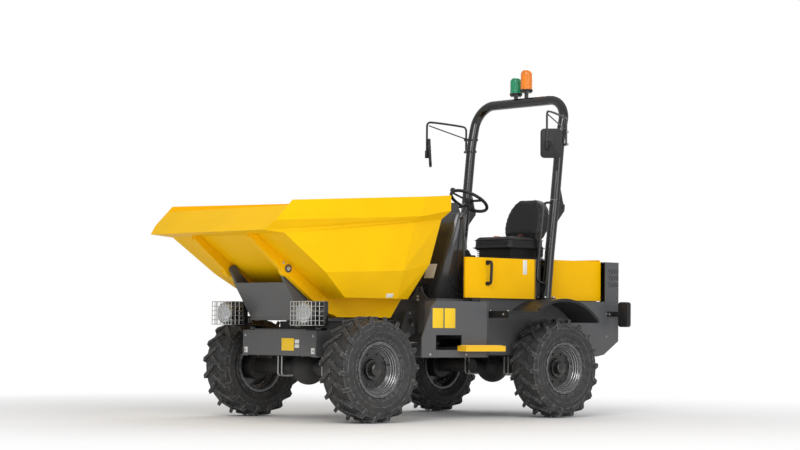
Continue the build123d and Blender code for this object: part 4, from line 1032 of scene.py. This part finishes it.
def evaluated(piece):
    shown = piece.evaluated_get(bpy.context.evaluated_depsgraph_get())
    return bpy.data.meshes.new_from_object(shown)


def swell(name, cap):
    bm = bmesh.new()
    bm.from_mesh(nodes[name].data)
    bmesh.ops.remove_doubles(bm, verts=bm.verts, dist=0.00001)
    bmesh.ops.recalc_face_normals(bm, faces=bm.faces)
    piece = addMesh(name + "Soft", bm)
    remesh = piece.modifiers.new("remesh", "REMESH")
    remesh.mode = "VOXEL"
    remesh.voxel_size = seatLook["voxel"]
    piece.data = evaluated(piece)
    piece.modifiers.clear()
    if name == "seat_back":
        shapeBack(piece)
    piece.data.materials.clear()
    piece.data.materials.append(finishes["seat_vinyl"])
    rest = [vert.co.copy() for vert in piece.data.vertices]
    low = min(point.z for point in rest)
    cloth = piece.modifiers.new("cloth", "CLOTH")
    for key, value in clothLook.items():
        setattr(cloth.settings, key, value)
    cloth.settings.effector_weights.gravity = 0
    for i in range(1, seatLook["frames"] + 1):
        scene.frame_set(i)
    swollen = evaluated(piece)
    scene.frame_set(1)
    piece.modifiers.clear()
    for vert, start, end in zip(piece.data.vertices, rest, swollen.vertices):
        move = end.co - start
        if move.length > cap:
            move *= cap / move.length
        # The underside stays flat on what carries it
        vert.co = start + move * min(1, (start.z - low) / 0.03)
    bpy.data.meshes.remove(swollen)
    smooth = piece.modifiers.new("smooth", "SUBSURF")
    smooth.levels = smooth.render_levels = 1
    for face in piece.data.polygons:
        face.use_smooth = True
    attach(piece, "rear_chassis")
    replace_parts(piece, name)
    return piece


def dressSeat():
    swell("seat_cushion", seatLook["cushionCap"])
    swell("seat_back", seatLook["backCap"])
    low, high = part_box("seat_cushion")
    r = seatLook["piping"]
    bm = bmesh.new()
    for inset, height in ((0.012, high.z - 0.016), (0.002, low.z + 0.012)):
        a, b, c, d = low.x + inset, high.x - inset, low.y + inset, high.y - inset
        ring = [(a, 0, height), (a, c + 0.02, height), (a + 0.02, c, height), (b - 0.02, c, height),
                (b, c + 0.02, height), (b, 0, height), (b, d - 0.02, height),
                (b - 0.02, d, height), (a + 0.02, d, height), (a, d - 0.02, height), (a, 0, height)]
        addPipe(bm, ring, r)
    for y in (-0.14, 0.14):
        addPipe(bm, [(low.x + 0.08, y, high.z + 0.006), (low.x + 0.2, y * 1.02, high.z + 0.009),
                     (high.x - 0.12, y * 1.02, high.z + 0.009), (high.x - 0.03, y, high.z - 0.004)],
                r * 0.7)
    keep(bm, "seatPiping", "rear_chassis", "seat_vinyl")
    # Belt halves laid over the cushion, with the buckle on the left
    bm = bmesh.new()
    top = high.z + 0.012
    x, (width, thickness) = beltLook["x"], beltLook["band"]
    for side, reach in beltLook["reach"]:
        stops = [(side * 0.26, 1.375), (side * 0.25, top - 0.03), (side * 0.215, top + 0.004),
                 (side * 0.12, top + 0.008), (side * reach, top + 0.006)]
        for (y0, z0), (y1, z1) in zip(stops, stops[1:]):
            start, end = Vector((x, y0, z0)), Vector((x, y1, z1))
            along = (end - start).normalized()
            level = Vector((1, 0, 0))
            turn = Matrix((level, along, level.cross(along))).transposed().to_4x4()
            addBlock(bm, shift((start + end) / 2) @ turn,
                     (width, (end - start).length + 0.004, thickness), 0.001)
    for rows, base in ((beltLook["anchors"], 0), (beltLook["clasp"], top)):
        for low, high, rounding, slot in rows:
            lift = Vector((0, 0, base))
            addBox(bm, Vector(low) + lift, Vector(high) + lift, rounding, slot)
    keep(bm, "seatBelt", "rear_chassis", "webbing", "buckle_orange", "black_plastic")


dressSeat()
print("seat made")


# Camera, light and floor

cameraLook = {
    "place": (11.777, 12.988, 0.763), "yaw": 228.088, "pitch": 2.747, "roll": 0.597,
    "lens": 93.787,
}
lightLook = {
    "sky": 0.54,
    "lamps": (("keyLight", (7.5, 5.5, 7.0), (0.3, 0, 1.0), 5.0, 440.0),
        ("fillLight", (1.0, 10.0, 4.0), (0, 0, 1.0), 6.0, 220.0), ("backLight", (-7.0, -3.0, 6.0),
        (0, 0, 1.2), 5.0, 200.0)),
}
floorLook = {
    "tone": (0.88, 0.91), "rough": (0.7, 0.85), "clearTo": 2.6, "whiteFrom": 6.0, "reach": 60,
}


def addCamera():
    yaw, pitch, roll = (math.radians(cameraLook[key]) for key in ("yaw", "pitch", "roll"))
    ahead = Vector((math.cos(yaw) * math.cos(pitch), math.sin(yaw) * math.cos(pitch),
                    math.sin(pitch)))
    level = ahead.cross(Vector((0, 0, 1))).normalized()
    upright = level.cross(ahead)
    right = level * math.cos(roll) + upright * math.sin(roll)
    up = right.cross(ahead)
    camera = bpy.data.cameras.new("camera")
    camera.lens = cameraLook["lens"]
    camera.sensor_width = 36
    camera.clip_end = 200
    holder = addObject("camera", camera)
    holder.matrix_world = (shift(cameraLook["place"])
                           @ Matrix((right, up, -ahead)).transposed().to_4x4())
    scene.camera = holder


def addLight(name, place, target, size, power):
    light = bpy.data.lights.new(name, "AREA")
    light.energy = power
    light.shape = "SQUARE"
    light.size = size
    addObject(name, light).matrix_world = aim(place, Vector(place) - Vector(target))


def addStage():
    world = bpy.data.worlds.new("studio")
    scene.world = world
    world.use_nodes = True
    tree = world.node_tree
    tree.nodes.clear()
    soft = node(tree, "Background", {0: (1, 1, 1, 1), 1: lightLook["sky"]})
    white = node(tree, "Background", {0: (1, 1, 1, 1), 1: 1.0})
    seen = node(tree, "LightPath").outputs["Is Camera Ray"]
    mixed = node(tree, "MixShader", {0: seen, 1: soft.outputs[0], 2: white.outputs[0]})
    out = node(tree, "OutputWorld")
    tree.links.new(mixed.outputs[0], out.inputs[0])
    bm = bmesh.new()
    bmesh.ops.create_grid(bm, x_segments=1, y_segments=1, size=floorLook["reach"])
    floor = addMesh("floor", bm)
    material, tree, shader = newMaterial("studioFloor")
    place = node(tree, "TexCoord").outputs["Object"]
    grain = noise(tree, place, 3.0, 4.0)
    setInputs(tree, shader, {"Base Color": ramp(tree, grain, 0, 1, *floorLook["tone"]),
                             "Roughness": ramp(tree, grain, 0, 1, *floorLook["rough"])})
    far = node(tree, "VectorMath", {0: place}, operation="LENGTH").outputs["Value"]
    fade = ramp(tree, far, floorLook["clearTo"], floorLook["whiteFrom"])
    seen = node(tree, "LightPath").outputs["Is Camera Ray"]
    share = maths(tree, "MULTIPLY", fade, seen)
    glow = node(tree, "Emission", {0: (1, 1, 1, 1), 1: 1.0})
    mixed = node(tree, "MixShader", {0: share, 1: shader.outputs[0], 2: glow.outputs[0]})
    tree.links.new(mixed.outputs[0], tree.nodes["Material Output"].inputs[0])
    floor.data.materials.append(material)
    for row in lightLook["lamps"]:
        addLight(*row)


addCamera()
addStage()
scene.view_settings.view_transform = "Standard"
print("stage set")
